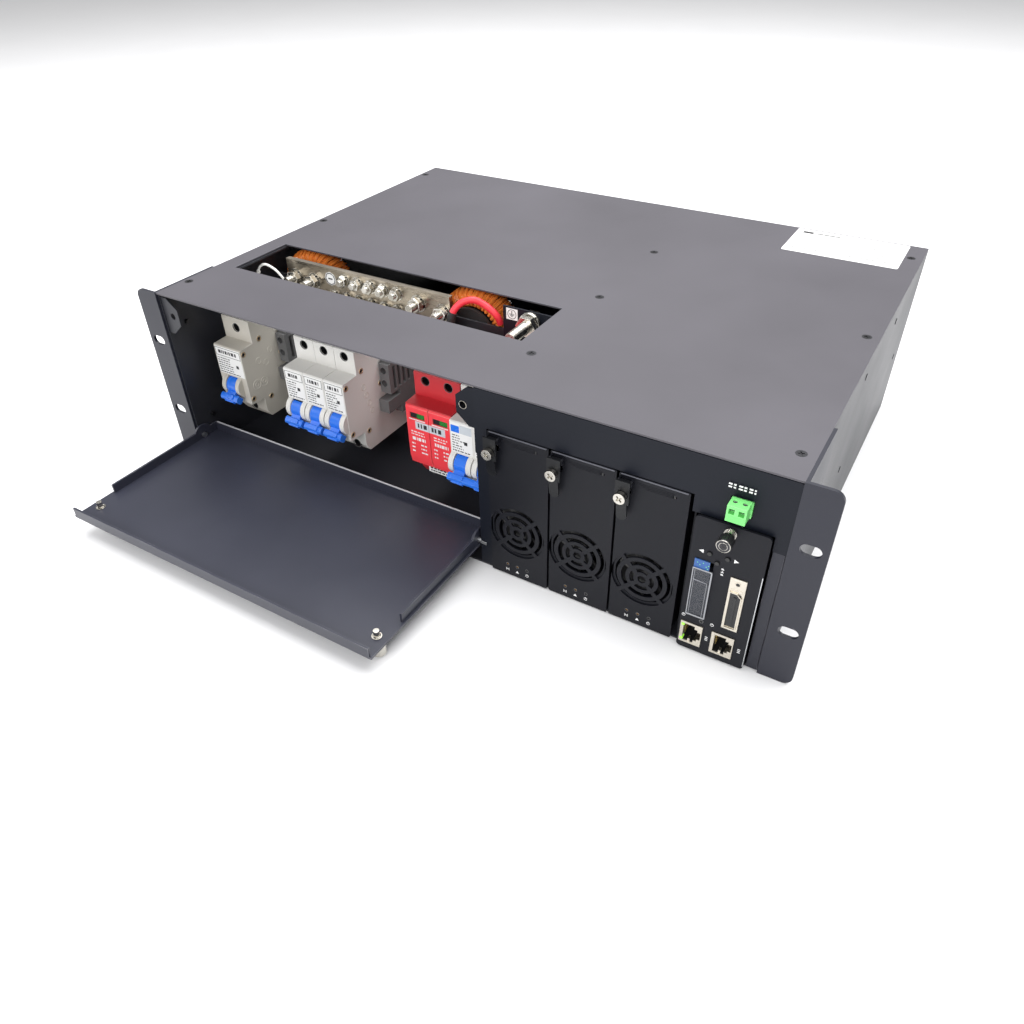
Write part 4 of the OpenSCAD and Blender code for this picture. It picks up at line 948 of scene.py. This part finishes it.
# %% Indicators
FRONT_FACE = -2.0  # the modules' front sheet stands this far before the rack plane
for n in (1, 2, 3):
    lo, hi = corners(f"rectifier_{n}")
    cx, face, base = lo.x + 18.8, FRONT_FACE, lo.z
    bm = bmesh.new()
    for k in (-1, 0, 1):
        add_pin(bm, cx + k * 7.1, base + 8.6, face + 0.5, face + 1.4, 0.9, sides=20,
                slot=0 if k < 1 else 1)
        add_ring(bm, (cx + k * 7.1, face + 0.02, base + 8.6), Y, 1.05, 0.12, 24, 5, slot=3)
    z = base + 4.4
    for dx in (-8.2, -6.5):
        add_block(bm, (cx + dx, face - 0.05, z - 1), (cx + dx + 0.45, face + 0.05, z + 1), 2)
    add_block(bm, (cx - 8.2, face - 0.05, z - 0.25), (cx - 6.1, face + 0.05, z + 0.2), 2)
    tri = [bm.verts.new((cx + a, face - 0.05, z + b)) for a, b in ((-1.2, -0.9), (1.2, -0.9), (0, 1.1))]
    bm.faces.new(tri).material_index = 2
    add_ring(bm, (cx + 7.1, face - 0.02, z), Y, 0.95, 0.16, 24, 5, slot=2)
    add_block(bm, (cx + 6.95, face - 0.06, z), (cx + 7.25, face + 0.05, z + 1.3), 2)
    finish_piece(f"indicators_{n}", bm, ["amber", "black", "white_ink", "grey"], f"rectifier_{n}")
    bm = bmesh.new()
    for k in range(4):
        z = hi.z - 3.4 - k * 0.9
        add_rod(bm, (lo.x + 9 + 2.2 * k, face - 0.02, z), (hi.x - 8.5, face - 0.02, z), 0.17, sides=8)
    add_block(bm, (hi.x - 8.6, face - 0.1, hi.z - 6), (hi.x - 7.6, face + 0.1, hi.z - 4.2), 1)
    finish_piece(f"louvres_{n}", bm, ["module", "black"], f"rectifier_{n}")
    # painted highlight: a dim light rod along each module's top fold, where the bend catches the light
    bm = bmesh.new()
    add_rod(bm, (lo.x + 1.2, face - 0.02, hi.z - 0.55), (hi.x - 1.2, face - 0.02, hi.z - 0.55), 0.4, sides=16)
    finish_piece(f"top_fold_highlight_{n}", bm, "edge_dim", f"rectifier_{n}")

# %% [markdown]
# ## Controller front
# The controller has a display under a clear film, two network sockets, a multi-pin port and a
# captive thumbscrew. The thumbscrew is made of three turned parts: a bright ringed collar, a
# black knurled grip and a blackened end with a cross recess and fine bright rims.

# %% Thumbscrew
def knurled(bm, start, end, r, teeth, depth, slot=0):
    """A rod whose sides carry straight ridges: every second corner is pulled in."""
    made = add_rod(bm, start, end, r, sides=teeth * 2, slot=slot)
    axis = (Vector(end) - Vector(start)).normalized()
    base = Vector(start)
    ref = axis.orthogonal().normalized()
    other = axis.cross(ref)
    for v in made:
        d = v.co - base
        flat = d - axis * d.dot(axis)
        turn = math.atan2(flat.dot(other), flat.dot(ref)) / (2 * math.pi) * teeth * 2
        if round(turn) % 2:
            v.co -= flat.normalized() * depth

def cross_recess(bm, at, axis, arm, slot):
    """A dark cross let into the end of a screw."""
    at, axis = Vector(at), Vector(axis)
    ref = axis.orthogonal().normalized()
    other = axis.cross(ref)
    for a, b in ((ref, other), (other, ref)):
        made = bmesh.ops.create_cube(bm, size=1)["verts"]
        turned = Matrix((a * arm * 2, b * arm * 0.42, axis * 0.3)).transposed()
        for v in made:
            v.co = at + turned @ v.co
        paint(made, slot)

lo, hi = corners("controller_screw")
x, z, front = (lo.x + hi.x) / 2, (lo.z + hi.z) / 2, lo.y
bm = bmesh.new()
add_pin(bm, x, z, front + 6.6, front + 12.3, 3.1, sides=36)
for k in range(4):
    add_ring(bm, (x, front + 7.4 + k * 1.2, z), Y, 3.1, 0.28, 36, 8)
add_pin(bm, x, z, front + 8, hi.y, 1.85, sides=24)
add_pin(bm, x, z, front, front + 1.0, 3.5, 3.9, sides=40, slot=1)
add_ring(bm, (x, front + 0.2, z), Y, 3.6, 0.24, 40, 8)
add_ring(bm, (x, front, z), Y, 2.2, 0.16, 32, 8)
add_pin(bm, x, z, front - 0.1, front + 0.4, 2.1, sides=32, slot=1)
cross_recess(bm, (x, front - 0.08, z), (0, -1, 0), 1.7, 2)
bevel_outer(bm, 0.12, 2, 50)
finish_piece("thumbscrew_metal", bm, ["nickel", "black_steel", "black"], "controller_screw")
bm = bmesh.new()
knurled(bm, (x, front + 0.9, z), (x, front + 6.9, z), 4.1, 30, 0.3)
bevel_outer(bm, 0.15, 2, 60)
finish_piece("thumbscrew_grip", bm, "black", "controller_screw", replaces="controller_screw")

# %% [markdown]
# ### Display
# The display is dark glass with a blue strip, under a clear film that is still in place. Glass
# and film are separate pieces, because the film stands proud. Thin light bars along the film's
# borders and across it are painted highlights for the glints on its edges. Its Alpha is low and
# varies slightly, so it reads as clear plastic.

# %% Display
def toned(name, low, high, scale):
    """A bare material whose base colour drifts between two tones."""
    mat, tree, bsdf = blank(name)
    g = node(tree, "ShaderNodeGroup", node_tree=grain)
    g.inputs["Scale"].default_value = scale
    tone = node(tree, "ShaderNodeMix", [(0, g.outputs["Tone"]), (6, (*low, 1)), (7, (*high, 1))],
                data_type="RGBA")
    tree.links.new(tone.outputs[2], bsdf.inputs["Base Color"])
    return mat, tree, bsdf, g, tone

lo, hi = corners("controller_display")
film = hi.z - 6
look["screen"], tree, bsdf, g, tone = toned("display_glass", (0.010, 0.012, 0.018),
                                            (0.018, 0.021, 0.03), 90)
bsdf.inputs["Roughness"].default_value = 0.3
bsdf.inputs["Coat Weight"].default_value = 0.1
look["film"], tree, bsdf, g, tone = toned("protective_film", (0.1, 0.11, 0.14), (0.3, 0.31, 0.35), 160)
clear = node(tree, "ShaderNodeMapRange", [("Value", g.outputs["Tone"]), ("To Min", 0.02), ("To Max", 0.05)])
tree.links.new(clear.outputs["Result"], bsdf.inputs["Alpha"])
bsdf.inputs["Roughness"].default_value = 0.08
bumpy = node(tree, "ShaderNodeBump", [("Height", g.outputs["Height"]), ("Strength", 0.06),
                                      ("Distance", 0.001)])
tree.links.new(bumpy.outputs["Normal"], bsdf.inputs["Normal"])
look["film_blue"] = coated("film_blue", (0.012, 0.085, 0.3), 0.3, scale=400, bump=0.05, drift=0.2, coat=0.3)
# a light grey that paints the glints on the film's edges
look["film_edge"] = coated("film_edge", (0.3, 0.31, 0.33), 0.15, scale=300, bump=0.3, drift=0.7)
bm = bmesh.new()
add_block(bm, (lo.x, lo.y + 0.6, lo.z), (hi.x, hi.y, film - 0.2), 0)
add_block(bm, (lo.x - 0.4, lo.y + 0.7, film - 0.3), (hi.x - 1.6, hi.y - 4.4, hi.z + 0.4), 1)
bevel_outer(bm, 0.15, 2, 40)
for dx, dz in ((1.2, 4.4), (2.6, 3.2), (4.4, 4.9), (6.2, 2.8), (7.4, 4.0), (7.0, 1.6)):
    x, z = lo.x + dx, film + dz
    add_block(bm, (x, lo.y + 0.62, z - 0.25), (x + 0.5, lo.y + 0.8, z + 0.25), 2)
finish_piece("display_panel", bm, ["screen", "film_blue", "green"], "controller",
             replaces="controller_display")
# painted highlights: thin light rods along the film's borders and across it stand for its glints
bm = bmesh.new()
x0, x1, z0, z1, y = lo.x - 0.3, hi.x + 0.3, lo.z - 0.6, film + 0.4, lo.y + 0.15
for a, b, w in (((x0, z0), (x0, z1), 0.3), ((x1, z0), (x1, z1), 0.42), ((x0, z0), (x1, z0), 0.42),
                ((x0, z1), (x1, z1), 0.34), ((x0 + 0.8, z1 - 8), (x1 - 1.6, z1 - 8.6), 0.18),
                ((x0 + 1.2, z0 + 1), (x0 + 1.1, z1 - 1), 0.14),
                ((x1 - 1.7, z0 + 1), (x1 - 1.6, z1 - 9), 0.14)):
    add_rod(bm, (a[0], y, a[1]), (b[0], y + 0.1, b[1]), w, sides=8)
finish_piece("painted_film_glints", bm, "film_edge", "controller")
bm = bmesh.new()
bmesh.ops.create_grid(bm, x_segments=6, y_segments=18, size=0.5)
bmesh.ops.rotate(bm, cent=(0, 0, 0), matrix=Matrix.Rotation(math.radians(90), 3, "X"), verts=bm.verts)
bmesh.ops.scale(bm, vec=(hi.x - lo.x + 0.8, 1, film - lo.z + 1.6), verts=bm.verts)
for v in bm.verts:
    v.co.y = -0.28 * math.cos(v.co.x * 0.33) - 0.15 * math.sin(v.co.z * 0.21)
bmesh.ops.translate(bm, vec=((lo.x + hi.x) / 2, lo.y + 0.5, (lo.z + film) / 2), verts=bm.verts)
bmesh.ops.solidify(bm, geom=bm.faces[:], thickness=0.12)
bmesh.ops.recalc_face_normals(bm, faces=bm.faces)
finish_piece("display_film", bm, "film", "controller", even=False)

# %% [markdown]
# ### Sockets and port
# A network socket is a tin box whose opening narrows in steps where the plug's latch slides. The
# shell is put together from blocks that meet but never overlap, since two faces in the same
# plane would shade each other black. The port beside it is a tin rim round a dark tongue.

# %% Sockets and port
sockets = solids("controller_sockets")
port = max(sockets, key=lambda s: s[1].z - s[0].z)
sockets.remove(port)
bm = bmesh.new()
for lo, hi in sockets:
    x0, x1, z0, z1, y = lo.x, hi.x, lo.z, hi.z, lo.y
    # a tin shell, cut in steps towards its right side where the plug's latch goes
    add_block(bm, (x0, y, z0 + 1.5), (x0 + 1.9, y + 13, z1 - 1.5), 0)
    add_block(bm, (x1 - 0.6, y, z0 + 5.2), (x1, y + 13, z1 - 5.2), 0)
    for left, right, deep in ((x0, x1 - 4.4, 1.5), (x1 - 4.4, x1 - 2.6, 3.6), (x1 - 2.6, x1, 5.2)):
        add_block(bm, (left, y, z0), (right, y + 13, z0 + deep), 0)
        add_block(bm, (left, y, z1 - deep), (right, y + 13, z1), 0)
    add_block(bm, (x0 + 5.2, y + 0.2, z0 + 1), (x0 + 6.6, y + 3, z0 + 3.6), 0)
    add_block(bm, (x0 + 0.5, y + 11.6, z0 + 0.5), (x1 - 0.5, y + 13, z1 - 0.5), 1)
    for z in (z0 + 1.5, z1 - 1.8):
        add_block(bm, (x0 + 1.9, y + 0.5, z), (x1 - 1, y + 12, z + 0.3), 1)
    for k in range(8):
        z = (z0 + z1) / 2 - 3.6 + k * 1.02
        add_block(bm, (x0 + 2.2, y + 3.4, z), (x0 + 2.6, y + 10, z + 0.4), 2)
finish_piece("network_sockets", bm, ["tin", "black", "gold"], "controller", replaces="controller_sockets")

# painted glow: the light pipes get a weak green emission, so they glow by themselves
look["lit"], tree, bsdf, g, tone = toned("green_light_pipe_painted_glow", (0.25, 0.75, 0.05), (0.45, 0.95, 0.12), 400)
tree.links.new(tone.outputs[2], bsdf.inputs["Emission Color"])
bsdf.inputs["Emission Strength"].default_value = 0.35
bsdf.inputs["Roughness"].default_value = 0.25
lo, hi = sockets[0]
bm = bmesh.new()
for z in (lo.z + 2.4, hi.z - 2.4):
    add_pin(bm, lo.x + 1.5, z, lo.y - 0.2, lo.y + 3, 1.0, sides=20)
bevel_outer(bm, 0.2, 2, 40)
finish_piece("socket_lights", bm, "lit", "controller")

lo, hi = port
bm = bmesh.new()
cx = (lo.x + hi.x) / 2
add_block(bm, (lo.x, lo.y + 0.3, lo.z), (hi.x, lo.y + 1.3, hi.z), 0)
z0, z1 = lo.z + 2.2, hi.z - 9.8
for a, b in (((cx - 3.5, z0), (cx - 2.9, z1)), ((cx + 2.9, z0), (cx + 3.5, z1 - 2.4)),
             ((cx - 3.5, z0 - 0.7), (cx + 3.5, z0)), ((cx - 3.5, z1), (cx + 1.2, z1 + 0.6))):
    add_block(bm, (a[0], lo.y - 0.7, a[1]), (b[0], lo.y + 0.6, b[1]), 0)
add_rod(bm, (cx + 1.1, lo.y - 0.35, z1 - 0.3), (cx + 3.2, lo.y - 0.35, z1 - 2.4), 0.4, sides=10)
add_block(bm, (cx - 2.9, lo.y + 0.1, z0 + 0.3), (cx + 2.9, lo.y + 0.45, z1 - 0.6), 1)
add_block(bm, (cx - 0.8, lo.y - 0.3, z0 + 2), (cx + 0.8, lo.y + 0.3, z1 - 3), 1)
for k in range(18):
    z = z0 + 2.4 + k * (z1 - z0 - 6) / 17
    add_block(bm, (cx - 0.98, lo.y - 0.1, z - 0.12), (cx - 0.8, lo.y + 0.3, z + 0.12), 1)
add_ring(bm, (cx, lo.y + 0.25, hi.z - 3.6), Y, 1.3, 0.25, 24, 6)
add_pin(bm, cx, hi.z - 3.6, lo.y + 0.2, lo.y + 0.36, 1.05, sides=20, slot=1)
add_block(bm, (cx - 3.2, lo.y + 0.1, z1 + 0.4), (cx + 3.2, lo.y + 0.4, z1 + 2.4), 0)
bevel_outer(bm, 0.12, 2, 60)
finish_piece("port_shell", bm, ["tin", "black"], "controller")

# %% [markdown]
# ### Printed marks
# The print on the panel is replaced by plain triangles, rings and bars. They stand a few
# hundredths of a millimetre proud of the sheet, so they need no image.

# %% Printed marks beside the buttons
lo, hi = corners("controller")
face = lo.y
bm = bmesh.new()
def triangle(x, z, r, way):
    pts = [(x - way * r, z), (x + way * r * 0.7, z + r * 0.8), (x + way * r * 0.7, z - r * 0.8)]
    if way < 0:
        pts = pts[::-1]
    bm.faces.new([bm.verts.new((a, face - 0.04, b)) for a, b in pts])
b_left, b_right = corners("button_left"), corners("button_right")
zl, zr = (b_left[0].z + b_left[1].z) / 2, (b_right[0].z + b_right[1].z) / 2
triangle(b_left[0].x - 2.6, zl, 1.5, 1)
triangle(b_right[1].x + 2.6, zr, 1.5, -1)
for x, z in ((175.6, 26), (192.3, 25.6)):
    z += FROM_FLOOR
    add_ring(bm, (x + 0.8, face - 0.02, z), Y, 0.9, 0.15, 24, 5)
    add_block(bm, (x + 0.66, face - 0.06, z), (x + 0.94, face + 0.02, z + 1.3))
for x, z in ((191.2, 13.8), (210.2, 13.8)):
    z += FROM_FLOOR
    for k in (-1, 0, 1):
        add_block(bm, (x - 0.7, face - 0.05, z + k * 1.2 - 0.3), (x + 0.9, face + 0.02, z + k * 1.2 + 0.2))
for k in range(3):
    z = 63.2 + FROM_FLOOR + k * 1.9
    add_block(bm, (192.4, face - 0.05, z), (193.9, face + 0.02, z + 0.4))
    add_block(bm, (192.4 + 0.5 * (k % 2), face - 0.05, z + 0.6), (193.6, face + 0.02, z + 1))
finish_piece("controller_marks", bm, "white_ink", "controller")
bm = bmesh.new()
for k, wide in enumerate((1.8, 1.2, 2.0, 1.4, 1.8, 0.9)):
    x = 187.6 + k * 2.6
    for dz in (0, 1.7):
        add_block(bm, (x, -2.56, 118.4 + FROM_FLOOR + dz), (x + wide, -2.3, 119.2 + FROM_FLOOR + dz))
finish_piece("input_marks", bm, "white_ink")
bm = bmesh.new()
add_pin(bm, 186.9, 25.3 + FROM_FLOOR, face + 0.4, face + 1.4, 0.95, sides=20)
add_ring(bm, (186.9, face, 25.3 + FROM_FLOOR), Y, 1.1, 0.2, 24, 6, slot=1)
finish_piece("controller_indicator", bm, ["black", "grey"], "controller")

# %% [markdown]
# ## Sheet edges
# Where a sheet ends or folds, a line of light shows. A thin bright zinc bar on the controller's
# face paints that highlight down its right edge, and a folded strip closes the gap between it and the ear.

# %% Sheet edges that catch the light
lo, hi = corners("controller")
bm = bmesh.new()
# painted highlight: a thin bright bar on the face along the controller's right edge
add_block(bm, (hi.x - 0.5, face - 0.06, lo.z + 2.4), (hi.x - 0.05, face + 0.3, lo.z + 70))
finish_piece("controller_edge_highlight", bm, "zinc", "controller")
wall = corners("chassis_tray")[1].x
bm = bmesh.new()
add_block(bm, (wall - 6.8, -0.7, FROM_FLOOR + 0.4), (wall - 0.5, 0.05, FROM_FLOOR + 86.4))
bevel_outer(bm, 0.6, 4, 60)
finish_piece("front_strip", bm, "ear")

# %% [markdown]
# ## Input plug
# A pluggable terminal has a clamp screw over each wire entry and a ribbed face for the fingers.
# They ride on the plug, so they leave with it.

# %% Mains plug fittings
lo, hi = corners("input_plug")
bm = bmesh.new()
for k in (-1, 1):
    x = (lo.x + hi.x) / 2 + k * 2.5
    add_rod(bm, (x, lo.y + 4.6, hi.z - 1.5), (x, lo.y + 4.6, hi.z - 0.5), 1.2, sides=20, slot=0)
    add_block(bm, (x - 1, lo.y + 4.45, hi.z - 0.52), (x + 1, lo.y + 4.75, hi.z - 0.46), 1)
    add_block(bm, (x - 1.4, lo.y + 3, lo.z + 4.7), (x + 1.4, lo.y + 5.2, lo.z + 5.2), 0)
finish_piece("plug_clamps", bm, ["zinc", "black"], "input_plug")
bm = bmesh.new()
for k in range(9):
    x = lo.x + 0.9 + k * 1.02
    add_block(bm, (x, lo.y - 0.15, lo.z + 0.4), (x + 0.5, lo.y + 0.2, lo.z + 3.6))
finish_piece("plug_ribs", bm, "green", "input_plug")

# %% [markdown]
# ## Door screws
# The two captive screws hang under the open door. Only their nuts and tips show from above,
# but a turn of the door brings the knurled heads to the front.

# %% Knurled heads
for side in ("left", "right"):
    name = f"door_screw_{side}"
    lo, hi = corners(name)
    x, y = (lo.x + hi.x) / 2, (lo.y + hi.y) / 2
    bm = bmesh.new()
    knurled(bm, (x, y, lo.z), (x, y, lo.z + 8.5), 4.3, 32, 0.25, 0)
    add_ring(bm, (x, y, lo.z + 8.7), Z, 3.4, 0.45, 36, 8, 1)
    add_rod(bm, (x, y, lo.z + 8.4), (x, y, lo.z + 11.6), 3.35, sides=36, slot=0)
    add_rod(bm, (x, y, lo.z + 11), (x, y, hi.z), 1.9, sides=24, slot=0)
    add_rod(bm, (x, y, hi.z - 4.65), (x, y, hi.z - 4.25), 3.2, sides=36, slot=0)
    add_ring(bm, (x, y, hi.z - 4.02), Z, 2.3, 0.22, 32, 8, 0, 340)
    cross_recess(bm, (x, y, lo.z - 0.02), (0, 0, -1), 2.6, 1)
    bevel_outer(bm, 0.15, 2, 50)
    finish_piece(f"door_thumbscrew_{side}", bm, ["nickel", "black_steel"], name, replaces=name)

# %% [markdown]
# ## Rear
# Cable entries at the back are lined with rubber grommets so that the sheet's edge can't cut
# a cable.

# %% Grommets
lo, hi = corners("rear_panel")
bm = bmesh.new()
for x in (-185, -135, -85):
    z = 36 + FROM_FLOOR
    for y in (lo.y - 0.7, hi.y + 0.7):
        add_ring(bm, (x, y, z), Y, 14.2, 1.3, 48, 10)
    add_ring(bm, (x, (lo.y + hi.y) / 2, z), Y, 13.2, 0.9, 48, 8)
finish_piece("cable_grommets", bm, "rubber")

# %% [markdown]
# ## Last edges
# Three small things finish the front: painted highlights along the rear and left rims of the window
# in the cover and along the top of the door's rear lip, and the threaded nut behind the right catch,
# which darkens its hole.

# %% Painted highlights on the cover opening and the door, and the catch nut
lo, hi = corners("top_cover")
x0, x1, y0, y1 = -207.3, 34.3, 58.5, 111.5  # the window in the cover
bm = bmesh.new()
# painted highlight: thin dim rods along the window's rear and left rims
for a, b in (((x0, y1), (x1, y1)), ((x0, y0), (x0, y1))):
    add_rod(bm, (a[0], a[1], hi.z - 0.2), (b[0], b[1], hi.z - 0.2), 0.24, sides=10)
finish_piece("opening_edge_highlights", bm, "edge_dim")
lo, hi = corners("door")
bm = bmesh.new()
# painted highlight: a light grey rod along the lip's top fold, where it catches the light
# the lip's top edge lies 4.2 mm below the top of the rounded hinge ears
add_rod(bm, (lo.x + 4, hi.y - 0.75, hi.z - 4.3), (hi.x - 4, hi.y - 0.75, hi.z - 4.3), 0.7, sides=14)
finish_piece("door_edge_highlight", bm, "edge_grey", "door")
lo, hi = corners("door_screw_right")
x, tab, z = (lo.x + hi.x) / 2, 0.7, 116.5 + FROM_FLOOR  # the tab's front face and its hole's height
bm = bmesh.new()
add_ring(bm, (x, tab - 0.02, z), Y, 2.5, 0.2, 32, 8)
for k in range(6):
    add_ring(bm, (x, tab + 1.7 + k * 0.8, z), Y, 2.95, 0.6, 32, 8, slot=1)
finish_piece("catch_nut", bm, ["tin", "black_steel"])
# apart from the catch nut, the edges finished in this cell are painted highlights
print("edge highlights painted")
